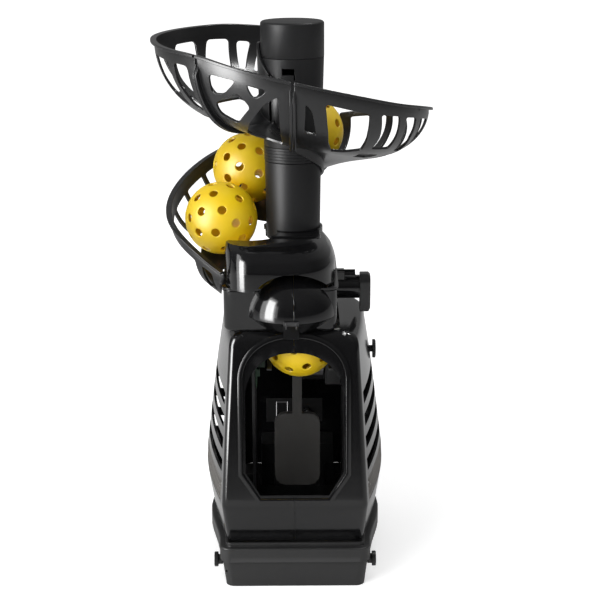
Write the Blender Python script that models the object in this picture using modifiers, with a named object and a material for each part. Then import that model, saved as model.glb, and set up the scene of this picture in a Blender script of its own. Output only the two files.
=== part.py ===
"""Ball throwing machine for pickleball practice.

A spiral ramp round a column feeds hollow balls into a hood.  A pair of fingers
lets them drop one by one in front of a swinging paddle, which knocks them out
through the arched window of the housing.  Lengths are in metres, +Z is up, the
window looks along -Y, and the column stands on the Z axis above the origin.
"""
import math

import bmesh
import bpy
from mathutils import Matrix, Vector
from mathutils.geometry import delaunay_2d_cdt

MM = 0.001
GAP = 0.3 * MM                  # clearance between pieces that touch
BITE = 1.0 * MM                 # how far joined bodies run into each other
REACH = 10.0 * MM               # how far a cutter runs past the wall it opens
FAR = 200.0 * MM                # beyond everything
WALL = 2.6 * MM                 # moulded wall of housing, hood and ramps
SHARP_ANGLE = 35.0              # degrees, edges above it stay sharp

# Base and the frame that tilts on it
BASE_HALF = 73.0 * MM
BASE_LEAN = 3.0 * MM             # of its sides, down to the foot
BASE_FOOT_HALF = BASE_HALF - BASE_LEAN
BASE_FRONT = -107.0 * MM
BASE_BACK = 113.0 * MM
BASE_HEIGHT = 27.0 * MM
BASE_WALL = 3.0 * MM
BASE_CORNER = 9.0 * MM
SKIRT_WALL = 2.7 * MM
SKIRT_TOP = 42.0 * MM
LEDGE_TOP = 45.5 * MM
LEDGE_INSET = 6.0 * MM
LEDGE_EDGE = 1.0 * MM
LEDGE_CORNER = 2.0 * MM
FRAME_FLOOR = 31.0 * MM
FRAME_FLOOR_THICK = 2.5 * MM
FRAME_BOW = 12.0 * MM           # how far the frame's long sides swell out
BOW_SHARES = (0.12, 0.3, 0.5, 0.7, 0.88)
TILT_Y = -90.0 * MM
TILT_Z = BASE_HEIGHT - 5.0 * MM
TILT_BOLT = 3.0 * MM
EAR_HALF = 7.0 * MM
EAR_THICK = 3.0 * MM
KNOB_RADIUS = 7.7 * MM
KNOB_LENGTH = 4.0 * MM
KNOB_EDGE = 1.0 * MM
KNOB_NECK = 5.0 * MM
KNOB_STAND = 2.0 * MM           # from the frame's straight side, which swells out behind it

# Housing: height, front, front half width, widest half width, back half width
HOUSING_BOTTOM = LEDGE_TOP + GAP
WIDEST_Y = 38.0 * MM
HOUSING_BACK = 112.0 * MM
CREASE_Z = 88.0 * MM
CREASE_Y = -112.0 * MM
PANEL_TOP_Z = 257.0 * MM
PANEL_TOP_Y = -80.0 * MM
ROOF_Z = 260.0 * MM
HOUSING_STATIONS = (
    (HOUSING_BOTTOM, -97.0 * MM, 68.5 * MM, 80.0 * MM, 62.0 * MM, HOUSING_BACK),
    (50.0 * MM, -98.0 * MM, 69.5 * MM, 81.0 * MM, 63.0 * MM, HOUSING_BACK),
    (CREASE_Z, CREASE_Y, 73.0 * MM, 94.0 * MM, 70.0 * MM, HOUSING_BACK),
    (101.0 * MM, None, 72.3 * MM, 93.6 * MM, 71.0 * MM, HOUSING_BACK),
    (130.0 * MM, None, 70.9 * MM, 90.0 * MM, 69.5 * MM, HOUSING_BACK),
    (165.0 * MM, None, 69.1 * MM, 85.7 * MM, 66.0 * MM, 108.0 * MM),
    (205.0 * MM, None, 66.9 * MM, 80.5 * MM, 61.0 * MM, 102.5 * MM),
    (246.0 * MM, None, 64.5 * MM, 74.0 * MM, 56.0 * MM, 96.0 * MM),
)
# height and inset
SHOULDER = ((252.5 * MM, 1.5 * MM), (256.5 * MM, 5.0 * MM), (259.0 * MM, 10.0 * MM),
            (ROOF_Z, 16.0 * MM))
SHOULDER_FRONT = 0.35           # share of the inset at the front
HOUSING_CORNER = 7.0 * MM
HOUSING_BACK_CORNER = 16.0 * MM
SIDE_SWELL = 1.7                # exponents of the side's curve in front of and behind its
BACK_SWELL = 1.8                # widest place

# Window in the front panel and its collar
WINDOW_HALF = 51.0 * MM
WINDOW_TOP = 254.5 * MM
WINDOW_SPRING = 214.0 * MM      # where the arch starts
VISOR_TOP = 239.5 * MM          # the wall hangs lower than the collar, in front of the ball
VISOR_SPRING = 196.0 * MM
WALL_LIP = 2.5 * MM             # of the wall inside the collar
WINDOW_BOTTOM = 97.0 * MM
WINDOW_SILL_HALF = 34.0 * MM
WINDOW_CHAMFER_TOP = 122.0 * MM
COLLAR_WIDTH = 4.8 * MM
COLLAR_PROUD = 3.0 * MM
COLLAR_DEEP = 1.3 * MM
COLLAR_EDGE = 0.8 * MM          # how much lower its outer edge is
SILL_GROWTH = 0.4               # share of the collar's width that its sill grows by
ARCH_ROUNDNESS = 0.9

# Louvres and grilles in the sides
LOUVRE_FIRST = 125.0 * MM
LOUVRE_PITCH = 22.0 * MM
LOUVRE_COUNT = 4
LOUVRE_HEIGHT = 12.5 * MM
LOUVRE_START = 13.0 * MM        # from the front panel's face
LOUVRE_RIB = 3.0 * MM           # between a level front part and a falling back part
LOUVRE_END = 84.0 * MM
LOUVRE_FALL = 18.0 * MM
LOUVRE_INNER = 60.0 * MM        # the slots are cut from here
LOUVRE_OUTER = 104.0 * MM       # to here
GRILLE_FRONT = -97.0 * MM
GRILLE_BACK = 36.0 * MM
GRILLE_BOTTOM = 90.0 * MM
GRILLE_TOP = 112.0 * MM
GRILLE_INNER = 60.0 * MM        # its opening is cut from here
GRILLE_OUTER = 110.0 * MM       # to here
GRILLE_COLUMNS = 21
GRILLE_ROWS = 3
GRILLE_SINK = 0.8 * MM
GRILLE_THICK = 1.2 * MM

# Head box with its dome, and the hood on top
HEAD_LEFT = -69.0 * MM
HEAD_RIGHT = 45.0 * MM
HEAD_FRONT = -80.0 * MM
HEAD_BACK = 58.0 * MM
HEAD_TOP = 305.0 * MM
HEAD_CORNER = 10.0 * MM
HEAD_CHAMFER = 3.0 * MM
HEAD_CHAMFER_RISE = 4.0 * MM
ROOF_LEFT = -36.0 * MM          # opening in the housing's roof under the head
ROOF_RIGHT = 47.0 * MM
ROOF_FRONT = -74.0 * MM
ROOF_BACK = 24.0 * MM
FLANGE = 1.6 * MM
DOME_RADIUS = 45.0 * MM
DOME_Y = -62.0 * MM
DOME_Z = 276.0 * MM
DOME_FOOT_RADIUS = 26.0 * MM
DOME_SIDES = 24
DOME_RINGS = 6
DOME_CLEARANCE = 1.2 * MM       # between the dome and the hood round it
HOOD_CLEARANCE = 0.5 * MM       # between the hood and the ramp that meets it
HEAD_CLEARANCE = 9.0 * MM       # round the head, below the ramp
ARCH_CLEARANCE = 1.6 * MM       # between the dome and the arch of the hood's front edge
CATCH_HALF = 7.5 * MM
CATCH_THICK = 2.6 * MM
CATCH_RISE = 3.0 * MM           # above the dome's rim
CATCH_REACH = 5.0 * MM          # down the collar's face
CATCH_FIT = 0.5 * MM
HOOD_CENTRE_X = 0.5 * (HEAD_LEFT + HEAD_RIGHT)
HOOD_FRONT = -100.0 * MM
HOOD_BACK = 50.0 * MM
HOOD_TOP = 347.0 * MM
HOOD_ROUNDNESS = 2.6            # exponent of the hood's outline
HOOD_SIDES = 24
HOOD_MOUTH_X = -38.7 * MM       # the hood ends on the left at an upright plane through here,
HOOD_MOUTH_Y = -7.0 * MM
HOOD_MOUTH_TURN = 28.3          # turned by this many degrees from facing left
HOOD_PROFILE = ((0.0, 1.0, 1.0), (0.46, 0.985, 0.985), (0.7, 0.92, 0.94), (0.88, 0.81, 0.87),
                (0.97, 0.7, 0.79), (1.0, 0.64, 0.74))        # height, width and depth as shares

# Column
COLUMN_SEAT = 338.0 * MM
COLUMN_FOOT_RADIUS = 27.0 * MM
COLUMN_SEAM_RADIUS = 28.2 * MM
COLUMN_TOP_RADIUS = 31.5 * MM
COLUMN_WALL = 2.8 * MM
SEAM_Z = 417.0 * MM
RING_HEIGHT = 15.0 * MM
RING_GROOVES = 2
RING_GROOVE = 0.5 * MM
SPIGOT_LENGTH = 12.0 * MM       # of the upper tube inside the lower one
SPIGOT_WALL = 2.0 * MM
CAP_TOP = 554.5 * MM
CAP_HEIGHT = 34.5 * MM
CAP_BOTTOM = CAP_TOP - CAP_HEIGHT
HOOK_SLOT = ((-10.0 * MM, -40.0 * MM, CAP_BOTTOM - 15.5 * MM), (2.0 * MM, -20.0 * MM, CAP_BOTTOM - 9.0 * MM))
CAP_EDGE = 3.0 * MM
PLUG_LENGTH = 10.0 * MM
COLUMN_SIDES = 24
SOCKET_FLOOR = 2.2 * MM
SOCKET_WALL = 2.4 * MM
COLUMN_FIT = 0.4 * MM           # round the column's foot, where the flats come closest

# Spiral ramp
RIM_LIP = 5.0 * MM
BALL_PATH = 70.0 * MM           # radius on which the balls roll
FLANGE_WIDTH = 6.0 * MM         # of the flanges between the segments
SLEEVE_HEIGHT = 12.0 * MM
FLOOR_FALL = 1.5 * MM           # of the trough towards the column
CUP_START = 58.0 * MM           # height of the hopper's inner wall at its back end
CUP_END = 28.0 * MM             # and at its front end
# a segment is laid out flat before it is bent into its trough
PATTERN_DEGREE = 2.0 * MM       # length along the pattern for a degree round the column
PATTERN_FLOOR = 40.0 * MM       # width of the floor in the pattern
PATTERN_WALL = 100.0 * MM       # and of the curved wall
PATTERN_STEP = 16.0 * MM        # between points of the outlines
PATTERN_GRID = 20.0 * MM        # between the points inside
HOPPER_CORNER = 4.0 * MM        # corners of the openings
TRACK_CORNER = 2.5 * MM
# openings by their corners: angle in degrees, and 0..1 across the floor, 1..2 up the wall
HOPPER_BACK_OPENINGS = (
    ((-166, 1.84), (-175, 1.84), (-175, 1.5), (-159.5, 1.48)),
    ((-153.7, 1.84), (-160.8, 1.835), (-155.4, 1.52), (-152, 1.52)),
    ((-137.8, 1.87), (-149.9, 1.86), (-147.8, 1.56), (-144.5, 1.33), (-134, 1.18), (-122.5, 1.2),
     (-129, 1.45), (-134.5, 1.69)),
    ((-115.5, 1.87), (-130.5, 1.87), (-129.8, 1.72), (-122, 1.48), (-114, 1.3), (-104, 1.32),
     (-107, 1.55)),
    ((-83, 1.9), (-100, 1.885), (-101.5, 1.55), (-99, 1.4), (-81, 1.48)),
    ((-60.5, 1.9), (-78, 1.9), (-75, 1.52), (-57, 1.47)),
    ((-46, 1.9), (-55.5, 1.9), (-56, 1.72), (-51, 1.48), (-46, 1.46)),
    ((-150.3, 1.31), (-158, 1.2), (-153.5, 1.02), (-141.5, 0.7), (-136.5, 0.8), (-142.5, 1.08)),
    ((-130, 1.0), (-104, 1.08), (-80, 1.02), (-54, 0.98), (-50, 0.8), (-66, 0.36), (-93, 0.24),
     (-120, 0.36)),
    ((-95, 1.33), (-80, 1.38), (-62, 1.37), (-70, 1.15), (-88, 1.17)),
    ((-57, 1.36), (-46, 1.34), (-46, 1.13), (-62, 1.13)),
)
HOPPER_FRONT_OPENINGS = (
    ((-35.5, 1.885), (-23.2, 1.9), (-24.3, 1.86), (-29.3, 1.75), (-35.5, 1.72)),
    ((-18.5, 1.895), (-9.5, 1.89), (-12.8, 1.815), (-15.8, 1.785)),
    ((-35.5, 1.62), (-31, 1.69), (-22.3, 1.8), (-17.5, 1.69), (-27.2, 1.44), (-35.5, 1.5)),
    ((-11.3, 1.75), (-5, 1.86), (-5, 1.12), (-20, 1.08), (-26.5, 1.25), (-20, 1.49)),
)
TRACK_UPPER_OPENINGS = (
    ((4.5, 1.84), (7.2, 1.78), (10, 1.52), (4.5, 1.53)),
    ((12.5, 1.87), (32, 1.85), (34, 1.62), (37.3, 1.37), (29.5, 1.27), (22, 1.24), (17, 1.42),
     (14, 1.68)),
    ((38, 1.865), (48.5, 1.875), (51, 1.7), (55, 1.43), (42.6, 1.41), (41.5, 1.6)),
    ((53.3, 1.87), (61.6, 1.875), (66, 1.62), (78, 1.37), (65.5, 1.39), (57.5, 1.6)),
    ((66.5, 1.87), (79, 1.87), (84.5, 1.6), (88, 1.38), (82.5, 1.37), (72, 1.6)),
    ((83.5, 1.88), (101.5, 1.89), (96, 1.6), (92.5, 1.38), (89, 1.6)),
    ((106, 1.89), (119, 1.9), (110, 1.6), (101, 1.37), (97, 1.38), (100.5, 1.6)),
    ((122.5, 1.91), (128.6, 1.92), (125.5, 1.6), (122, 1.39), (114, 1.38), (117, 1.6)),
    ((132.2, 1.93), (138, 1.935), (136.5, 1.6), (134.5, 1.39), (128.5, 1.4)),
    ((142.2, 1.94), (152.5, 1.94), (150, 1.39), (139, 1.39)),
    ((40, 1.28), (57, 1.28), (60, 1.1), (45, 1.1)),
    ((70, 1.28), (92, 1.28), (92, 1.1), (73, 1.1)),
)
TRACK_SLOT_FIRST = 169.25       # degrees, the lowest segment has a row of even slots
TRACK_SLOT_PITCH = 15.6
TRACK_SLOT_WIDTH = 13.1
TRACK_SLOT_COUNT = 6
TRACK_SLOT_TOP = 1.84           # on the curved wall, as above
TRACK_SLOT_BOTTOM = 1.3
TRACK_SLOT_LEAN = 4.0           # degrees that its bottom lies behind its top
TRACK_LOWER_OPENINGS = (        # and then a long one and a short one at its end
    ((262.9, 1.84), (300, 1.84), (298, 1.3), (258.9, 1.3)),
    ((304, 1.84), (309.5, 1.84), (309.5, 1.45), (302.5, 1.45)),
)
SLEEVE_CLEARANCE = 0.8 * MM     # round the column, where the sleeve's flats come closest
# angle in degrees (0 front, 90 right, 180 back), rim radius, rim height, floor height
RAMP_STATIONS = (
    (-178.0, 139.0 * MM, 534.0 * MM, 474.0 * MM),
    (-150.0, 139.0 * MM, 540.5 * MM, 473.0 * MM),
    (-90.0, 139.0 * MM, 539.5 * MM, 470.0 * MM),
    (-41.0, 139.0 * MM, 534.5 * MM, 459.0 * MM),
    (0.0, 139.0 * MM, 513.0 * MM, 444.0 * MM),
    (45.0, 139.0 * MM, 487.0 * MM, 430.0 * MM),
    (90.0, 139.0 * MM, 468.0 * MM, 418.0 * MM),
    (130.0, 138.5 * MM, 453.5 * MM, 406.5 * MM),
    (158.0, 137.0 * MM, 444.5 * MM, 396.1 * MM),
    (222.0, 130.0 * MM, 406.5 * MM, 354.3 * MM),
    (251.0, 129.0 * MM, 383.0 * MM, 329.0 * MM),
    (270.0, 129.0 * MM, 368.5 * MM, 315.2 * MM),
    (286.0, 129.0 * MM, 357.0 * MM, 301.5 * MM),
    (297.0, 126.5 * MM, 345.0 * MM, 292.0 * MM),
    (311.0, 112.0 * MM, 325.0 * MM, 284.0 * MM),
    (318.0, 102.0 * MM, 316.0 * MM, 280.0 * MM),
)
JOINT_ANGLES = (-178.0, -41.0, 0.0, 158.0, 317.0)

# Balls: regulation size, 40 holes in six rings
BALL_RADIUS = 36.6 * MM
BALL_WALL = 2.0 * MM
BALL_HOLE_RADIUS = 4.4 * MM
BALL_HOLE_SIDES = 5
BALL_RINGS = ((12.0, 10, 0.0), (42.0, 7, 12.0), (72.0, 3, 40.0))     # latitude, holes, turn
BALL_PLACES = {
    "ball_1": (16.3 * MM, 68.8 * MM, 433.0 * MM),
    "ball_2": (-46.5 * MM, 53.0 * MM, 398.0 * MM),
    "ball_3": (-72.8 * MM, -3.5 * MM, 357.8 * MM),
    "ball_4": (-29.0 * MM, -40.0 * MM, 304.6 * MM),
    "ball_5": (6.0 * MM, -41.0 * MM, 239.5 * MM),
}
BALL_TURNS = ((0.0, 0.5, 0.0), (0.7, 1.4, 0.3), (1.4, 2.3, 0.6), (2.1, 3.2, 0.9), (2.8, 4.1, 1.2))
BALL_CLEARANCE = 1.2 * MM
CHANNEL_BEYOND = 1.2            # how far the entry channel runs past ball_3, as a share

# Throwing arm and what drives it
ARM_X = 3.0 * MM
ARM_Y = 8.0 * MM
ARM_PIVOT_Z = 238.0 * MM
ARM_SHAFT_RADIUS = 4.0 * MM
ARM_HUB_RADIUS = 9.0 * MM
ARM_HUB_HALF = 10.0 * MM
ARM_THICK = 8.0 * MM
PADDLE_HALF = 24.0 * MM
PADDLE_BOTTOM = 63.0 * MM
PADDLE_TOP = 144.0 * MM
PADDLE_CORNER = 12.0 * MM
NECK_WIDTH = 10.0 * MM
NECK_OVERLAP = 10.0 * MM
TAIL_HEIGHT = 19.0 * MM
PLATE_THICK = 3.0 * MM
PLATE_LEFT = -44.0 * MM
PLATE_RIGHT = 51.0 * MM
PLATE_FRONT = -8.0 * MM
PLATE_BACK = 64.0 * MM
PLATE_TOP = 251.0 * MM
PLATE_WINDOW = (4.0 * MM, 60.0 * MM, 52.0 * MM, 168.0 * MM)      # front, bottom, back, top
CAM_Y = 48.0 * MM
CAM_Z = 228.0 * MM
CAM_LOW = 15.0 * MM
CAM_HIGH = 28.0 * MM
CAM_THICK = 8.0 * MM
CAM_START = 200.0               # degrees
CAM_TURN = 352.0
CAM_STEPS = 22
CAM_SHAFT_RADIUS = 3.0 * MM
SHAFT_END = 2.0 * MM            # of the shafts beyond the plates
MOTOR_RADIUS = 14.0 * MM
MOTOR_LENGTH = 34.0 * MM
MOTOR_EDGE = 1.0 * MM
MOTOR_BOSS_RADIUS = 5.0 * MM
MOTOR_BOSS = 2.0 * MM
MOTOR_RISE = 3.0 * MM           # of the motor above the gearbox's underside
GEARBOX_SIZE = (18.0 * MM, 34.0 * MM, 78.0 * MM)
GEARBOX_ABOVE = 15.0 * MM       # of its top above the cam's axis
GEARBOX_EDGE = 2.0 * MM
SPRING_TURNS = 6
SPRING_RADIUS = 7.4 * MM
SPRING_WIRE = 1.0 * MM
SPRING_PITCH = 2.6 * MM
SPRING_SIDES = 8               # points in one turn
FINGER_WIDTH = 5.0 * MM
FINGER_SPREAD = 28.5 * MM       # from the ball's centre to a finger's inner face
FINGER_PIVOT_Y = 2.0 * MM
FINGER_PIVOT_Z = 210.0 * MM
FINGER_FRONT = -62.0 * MM
FINGER_PIN_RADIUS = 2.5 * MM
# back of the pivot or height below the top, for the corners of a finger
FINGER_TIP = 2.0 * MM
FINGER_BEHIND = 6.0 * MM
FINGER_BEVEL = 3.0 * MM
FINGER_HEEL = 10.0 * MM
FINGER_DEPTH = 12.0 * MM
FINGER_THROAT_Y = -20.0 * MM
FINGER_THROAT = 6.0 * MM

# Battery box, rear door and rear panel
BATTERY_HALF = 40.0 * MM
BATTERY_X = 3.0 * MM
BATTERY_FRONT = 70.0 * MM
BATTERY_BACK = 107.0 * MM
BATTERY_TOP = 84.0 * MM
BATTERY_BAND = 23.0 * MM        # height of the bar across its front
BATTERY_BAR_DEPTH = 4.0 * MM
BATTERY_PROUD = 2.0 * MM        # of the bar and the ribs in front of the case
BATTERY_WALL = 2.0 * MM
BATTERY_FRONT_WALL = 2.5 * MM
BATTERY_RIBS = (-20.0 * MM, 30.0 * MM)
BATTERY_RIB_HALF = 3.0 * MM
DOOR_BOTTOM = 52.0 * MM
DOOR_TOP = 80.0 * MM
DOOR_HALF = 36.0 * MM
DOOR_THICK = 2.4 * MM
REAR_SINK = 0.1 * MM            # of the door and the panel below the housing's back
GRIP_HALF = 9.0 * MM
GRIP_BELOW = 7.0 * MM           # from the door's top to the groove
GRIP_HEIGHT = 2.5 * MM
GRIP_DEPTH = 1.2 * MM
PANEL_HALF = 32.0 * MM
PANEL_BOTTOM = 95.0 * MM
PANEL_TOP = 124.0 * MM
SWITCH_X = -14.0 * MM
SWITCH_HALF = 6.0 * MM
SWITCH_TALL = 9.0 * MM          # half of its height
SWITCH_DEPTH = 3.0 * MM
SWITCH_PROUD = 2.4 * MM
SWITCH_DIP = 1.2 * MM
SWITCH_FIT = 1.0 * MM           # above and below it
INLET_X = 14.0 * MM
INLET_RADIUS = 5.5 * MM
INLET_BORE = 3.0 * MM
INLET_PIN = 1.0 * MM
INLET_FLANGE = 1.2 * MM
INLET_WALL = 1.0 * MM
INLET_DEPTH = 9.0 * MM
INLET_FLOOR = 2.0 * MM
BOARD_THICK = 1.6 * MM
BOARD_AREA = (8.0 * MM, 172.0 * MM, 62.0 * MM, 220.0 * MM)      # front, bottom, back, top
# y, z, size and height of the board's components
BOARD_CHIPS = ((18.0 * MM, 186.0 * MM, 8.0 * MM, 3.0 * MM), (36.0 * MM, 200.0 * MM, 11.0 * MM, 5.0 * MM),
               (52.0 * MM, 184.0 * MM, 7.0 * MM, 8.0 * MM))

# Side knob, and the lever on the right of the head
SIDE_KNOB_Z = 205.0 * MM
SIDE_KNOB_RADIUS = 10.0 * MM
SIDE_KNOB_X = 83.4 * MM
SIDE_KNOB_HEIGHT = 3.4 * MM
SIDE_KNOB_STEM = 3.6 * MM
SIDE_KNOB_DEPTH = 7.0 * MM
LEVER_Y = -10.0 * MM
LEVER_Z = HEAD_TOP - 18.0 * MM
DRUM_RADIUS = 11.0 * MM
DRUM_END = 70.0 * MM
DRUM_SIDES = 24
BRACKET_LENGTH = 21.0 * MM
BRACKET_FRONT = 8.0 * MM
BRACKET_BACK = 9.0 * MM
BRACKET_LOW = 6.0 * MM
BRACKET_HIGH = 14.5 * MM
LEVER_PIN = 4.0 * MM
LEVER_PIN_LENGTH = 10.0 * MM
LEVER_WIDTH = 8.0 * MM
LEVER_UP = 13.0 * MM
LEVER_DOWN = 25.0 * MM
LEVER_FOOT_HALF = 8.0 * MM
LEVER_HALF = 9.5 * MM
LEVER_TOP_HALF = 5.0 * MM
LEVER_BELLY = (-5.0 * MM, 7.0 * MM)

bpy.ops.object.select_all(action="DESELECT")
for old in list(bpy.data.objects):
    bpy.data.objects.remove(old, do_unlink=True)

PARTS = bpy.data.collections.new("pickleball_machine")
CUTTERS = bpy.data.collections.new("cutters")
bpy.context.scene.collection.children.link(PARTS)
bpy.context.scene.collection.children.link(CUTTERS)


def plastic(name, colour, roughness, metallic=0.0):
    """A material with the colour and finish of one kind of piece."""
    material = bpy.data.materials.new(name)
    material.use_nodes = True
    shader = material.node_tree.nodes["Principled BSDF"]
    shader.inputs["Base Color"].default_value = (*colour, 1.0)
    shader.inputs["Roughness"].default_value = roughness
    shader.inputs["Metallic"].default_value = metallic
    return material


GLOSS_BLACK = plastic("gloss black plastic", (0.006, 0.006, 0.007), 0.12)
SATIN_BLACK = plastic("satin black plastic", (0.012, 0.012, 0.013), 0.35)
MATT_GREY = plastic("matt dark grey plastic", (0.028, 0.028, 0.03), 0.6)
COLUMN_GREY = plastic("column grey plastic", (0.02, 0.02, 0.022), 0.45)
YELLOW = plastic("yellow ball plastic", (0.95, 0.62, 0.0), 0.4)
STEEL = plastic("zinc plated steel", (0.6, 0.6, 0.6), 0.3, 1.0)
MOTOR_CAN = plastic("motor can", (0.4, 0.4, 0.42), 0.35, 1.0)
NYLON = plastic("white nylon", (0.75, 0.74, 0.7), 0.5)
BOARD_GREEN = plastic("circuit board green", (0.02, 0.16, 0.06), 0.5)


def new_object(name, mesh, material=None):
    """Put a mesh into the scene as a part, or as a hidden cutter without a material."""
    thing = bpy.data.objects.new(name, mesh)
    if material is None:
        CUTTERS.objects.link(thing)
        thing.hide_render = True
        thing.display_type = "WIRE"
    else:
        mesh.materials.append(material)
        PARTS.objects.link(thing)
    return thing


def finish(bm, name, material=None, smooth=False):
    """Turn a bmesh into an object with its faces pointing out."""
    bmesh.ops.recalc_face_normals(bm, faces=bm.faces)
    mesh = bpy.data.meshes.new(name)
    bm.to_mesh(mesh)
    bm.free()
    if smooth:
        mesh.shade_smooth()
        mesh.set_sharp_from_angle(angle=math.radians(SHARP_ANGLE))
    return new_object(name, mesh, material)


def box(name, low, high, material=None, bevel=0.0):
    """A box between two corners, with its edges rounded where asked."""
    centre = [(a + b) / 2 for a, b in zip(low, high)]
    size = [abs(b - a) for a, b in zip(low, high)]
    bm = bmesh.new()
    bmesh.ops.create_cube(bm, size=1.0, matrix=Matrix.Translation(centre) @ Matrix.Diagonal((*size, 1.0)))
    if bevel:
        bmesh.ops.bevel(bm, geom=bm.edges[:], offset=bevel, segments=1, affect="EDGES")
    return finish(bm, name, material)


def cylinder(name, start, end, radius, material=None, sides=24, end_radius=None):
    """A cylinder or a cone between two points."""
    start = Vector(start)
    axis = Vector(end) - start
    turn = axis.to_track_quat("Z", "Y").to_matrix().to_4x4()
    matrix = Matrix.Translation(start + axis / 2) @ turn
    bm = bmesh.new()
    far = radius if end_radius is None else end_radius
    bmesh.ops.create_cone(bm, cap_ends=True, segments=sides, radius1=radius, radius2=far,
                          depth=axis.length, matrix=matrix)
    return finish(bm, name, material, smooth=True)


def turned(name, profile, material, steps=28, closed=True):
    """A turned piece: (radius, height) points down its outer side, spun by a Screw."""
    mesh = bpy.data.meshes.new(name)
    edges = [(i, i + 1) for i in range(len(profile) - 1)]
    if closed:
        edges.append((len(profile) - 1, 0))
    mesh.from_pydata([(r, 0.0, z) for r, z in profile], edges, [])
    thing = new_object(name, mesh, material)
    screw = thing.modifiers.new("turn", "SCREW")
    screw.steps = steps
    screw.render_steps = steps
    screw.use_merge_vertices = True
    screw.merge_threshold = 0.0001 * MM
    screw.use_smooth_shade = True
    return thing


def boolean(thing, other, operation="DIFFERENCE"):
    """Join or cut a part with a hidden body."""
    modifier = thing.modifiers.new(operation.lower() + " " + other.name, "BOOLEAN")
    modifier.operation = operation
    modifier.solver = "EXACT"
    modifier.object = other


def loft(bm, rings, wrap=True, closed=False, caps=False):
    """Skin a row of rings of points."""
    rows = [[bm.verts.new(point) for point in ring] for ring in rings]
    count = len(rows[0])
    pairs = list(zip(rows, rows[1:]))
    if closed:
        pairs.append((rows[-1], rows[0]))
    for low, high in pairs:
        for i in range(count if wrap else count - 1):
            j = (i + 1) % count
            bm.faces.new((low[i], low[j], high[j], high[i]))
    if caps:
        bm.faces.new(list(reversed(rows[0])))
        bm.faces.new(rows[-1])
    return rows


def skin(name, rings, material=None, smooth=False):
    """A closed body skinned over a stack of outlines."""
    bm = bmesh.new()
    loft(bm, rings, caps=True)
    return finish(bm, name, material, smooth)


def rounded_ring(left, right, front, back, radius, z, steps=3):
    """A rectangle with round corners, anticlockwise from above."""
    corners = (
        (right - radius, back - radius, 0),
        (left + radius, back - radius, 90),
        (left + radius, front + radius, 180),
        (right - radius, front + radius, 270),
    )
    points = []
    for x, y, start in corners:
        for i in range(steps + 1):
            angle = math.radians(start + 90 * i / steps)
            points.append((x + radius * math.cos(angle), y + radius * math.sin(angle), z))
    return points


def bowed_ring(half, bow, front, back, radius, z, steps=3):
    """A rounded rectangle whose two long sides swell outwards by bow in the middle."""
    corners = rounded_ring(-half, half, front, back, radius, z, steps)
    count = steps + 1
    left = []
    for share in BOW_SHARES:
        swell = bow * math.sin(math.pi * share) ** 2
        left.append((-half - swell, mix(back - radius, front + radius, share), z))
    right = [(-x, mix(front, back, (back - y) / (back - front)), z) for x, y, z in left]
    return corners[:2 * count] + left + corners[2 * count:] + right


def mix(a, b, share):
    return a + (b - a) * share


def from_stations(stations, value):
    """Straight interpolation in rows that start with the value they are listed by."""
    value = min(max(value, stations[0][0]), stations[-1][0])
    for low, high in zip(stations, stations[1:]):
        if value <= high[0]:
            share = (value - low[0]) / (high[0] - low[0])
            return [mix(a, b, share) for a, b in zip(low, high)]
    return list(stations[-1])


def centred(thing, point):
    """Move an object's origin to a point without moving its shape."""
    thing.data.transform(Matrix.Translation(-Vector(point)))
    thing.location = point
    return thing


# Base tray, the tilting frame and its two clamp knobs

def build_base():
    """Open tray that stands on the floor, slightly narrower at its foot."""
    def ring(half, inset, z):
        return rounded_ring(-half + inset, half - inset, BASE_FRONT + inset, BASE_BACK - inset,
                            BASE_CORNER - inset, z)

    lean = BASE_LEAN
    tray = skin("base_tray", (
        ring(BASE_FOOT_HALF, 0.0, 0.0),
        ring(BASE_HALF, 0.0, BASE_HEIGHT - lean),
        ring(BASE_HALF, 0.0, BASE_HEIGHT),
        ring(BASE_HALF, BASE_WALL, BASE_HEIGHT),
        ring(BASE_HALF, BASE_WALL, BASE_HEIGHT - lean),
        ring(BASE_FOOT_HALF, BASE_WALL, BASE_WALL),
    ), MATT_GREY)
    bolt_hole = cylinder("tilt bolt hole", (-BASE_HALF - BITE, TILT_Y, TILT_Z),
                         (BASE_HALF + BITE, TILT_Y, TILT_Z), TILT_BOLT + GAP, sides=16)
    boolean(tray, bolt_hole)
    return tray, bolt_hole


def build_tilt_frame(bolt_hole):
    """Skirt over the tray, with a ledge for the housing and two ears for the tilt bolts."""
    skirt_half = BASE_HALF + GAP + SKIRT_WALL
    front = BASE_FRONT - GAP - SKIRT_WALL
    back = BASE_BACK + GAP + SKIRT_WALL

    def ring(inset, z, bow=FRAME_BOW):
        radius = max(BASE_CORNER + GAP + SKIRT_WALL - inset, LEDGE_CORNER)
        return bowed_ring(skirt_half - inset, bow, front + inset, back - inset, radius, z)

    frame = skin("tilt_frame", (
        ring(SKIRT_WALL, FRAME_FLOOR),
        ring(SKIRT_WALL, BASE_HEIGHT + GAP),
        ring(0.0, BASE_HEIGHT + GAP),
        ring(0.0, SKIRT_TOP - LEDGE_EDGE),
        ring(LEDGE_EDGE, SKIRT_TOP),
        ring(LEDGE_INSET, SKIRT_TOP),
        ring(LEDGE_INSET, LEDGE_TOP),
        ring(LEDGE_INSET + WALL, LEDGE_TOP),
        ring(LEDGE_INSET + WALL, FRAME_FLOOR + FRAME_FLOOR_THICK),
    ), MATT_GREY)
    lean = BASE_LEAN
    ear_foot = TILT_Z - EAR_HALF
    ear_outer = BASE_FOOT_HALF - BASE_WALL - GAP + lean * ear_foot / (BASE_HEIGHT - lean)
    for side, label in ((-1, "left"), (1, "right")):
        low = min(side * ear_outer, side * (ear_outer - EAR_THICK))
        ear = box("tilt ear " + label, (low, TILT_Y - EAR_HALF, ear_foot),
                  (low + EAR_THICK, TILT_Y + EAR_HALF, FRAME_FLOOR + BITE))
        boolean(frame, ear, "UNION")
    boolean(frame, bolt_hole)
    return frame


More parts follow.
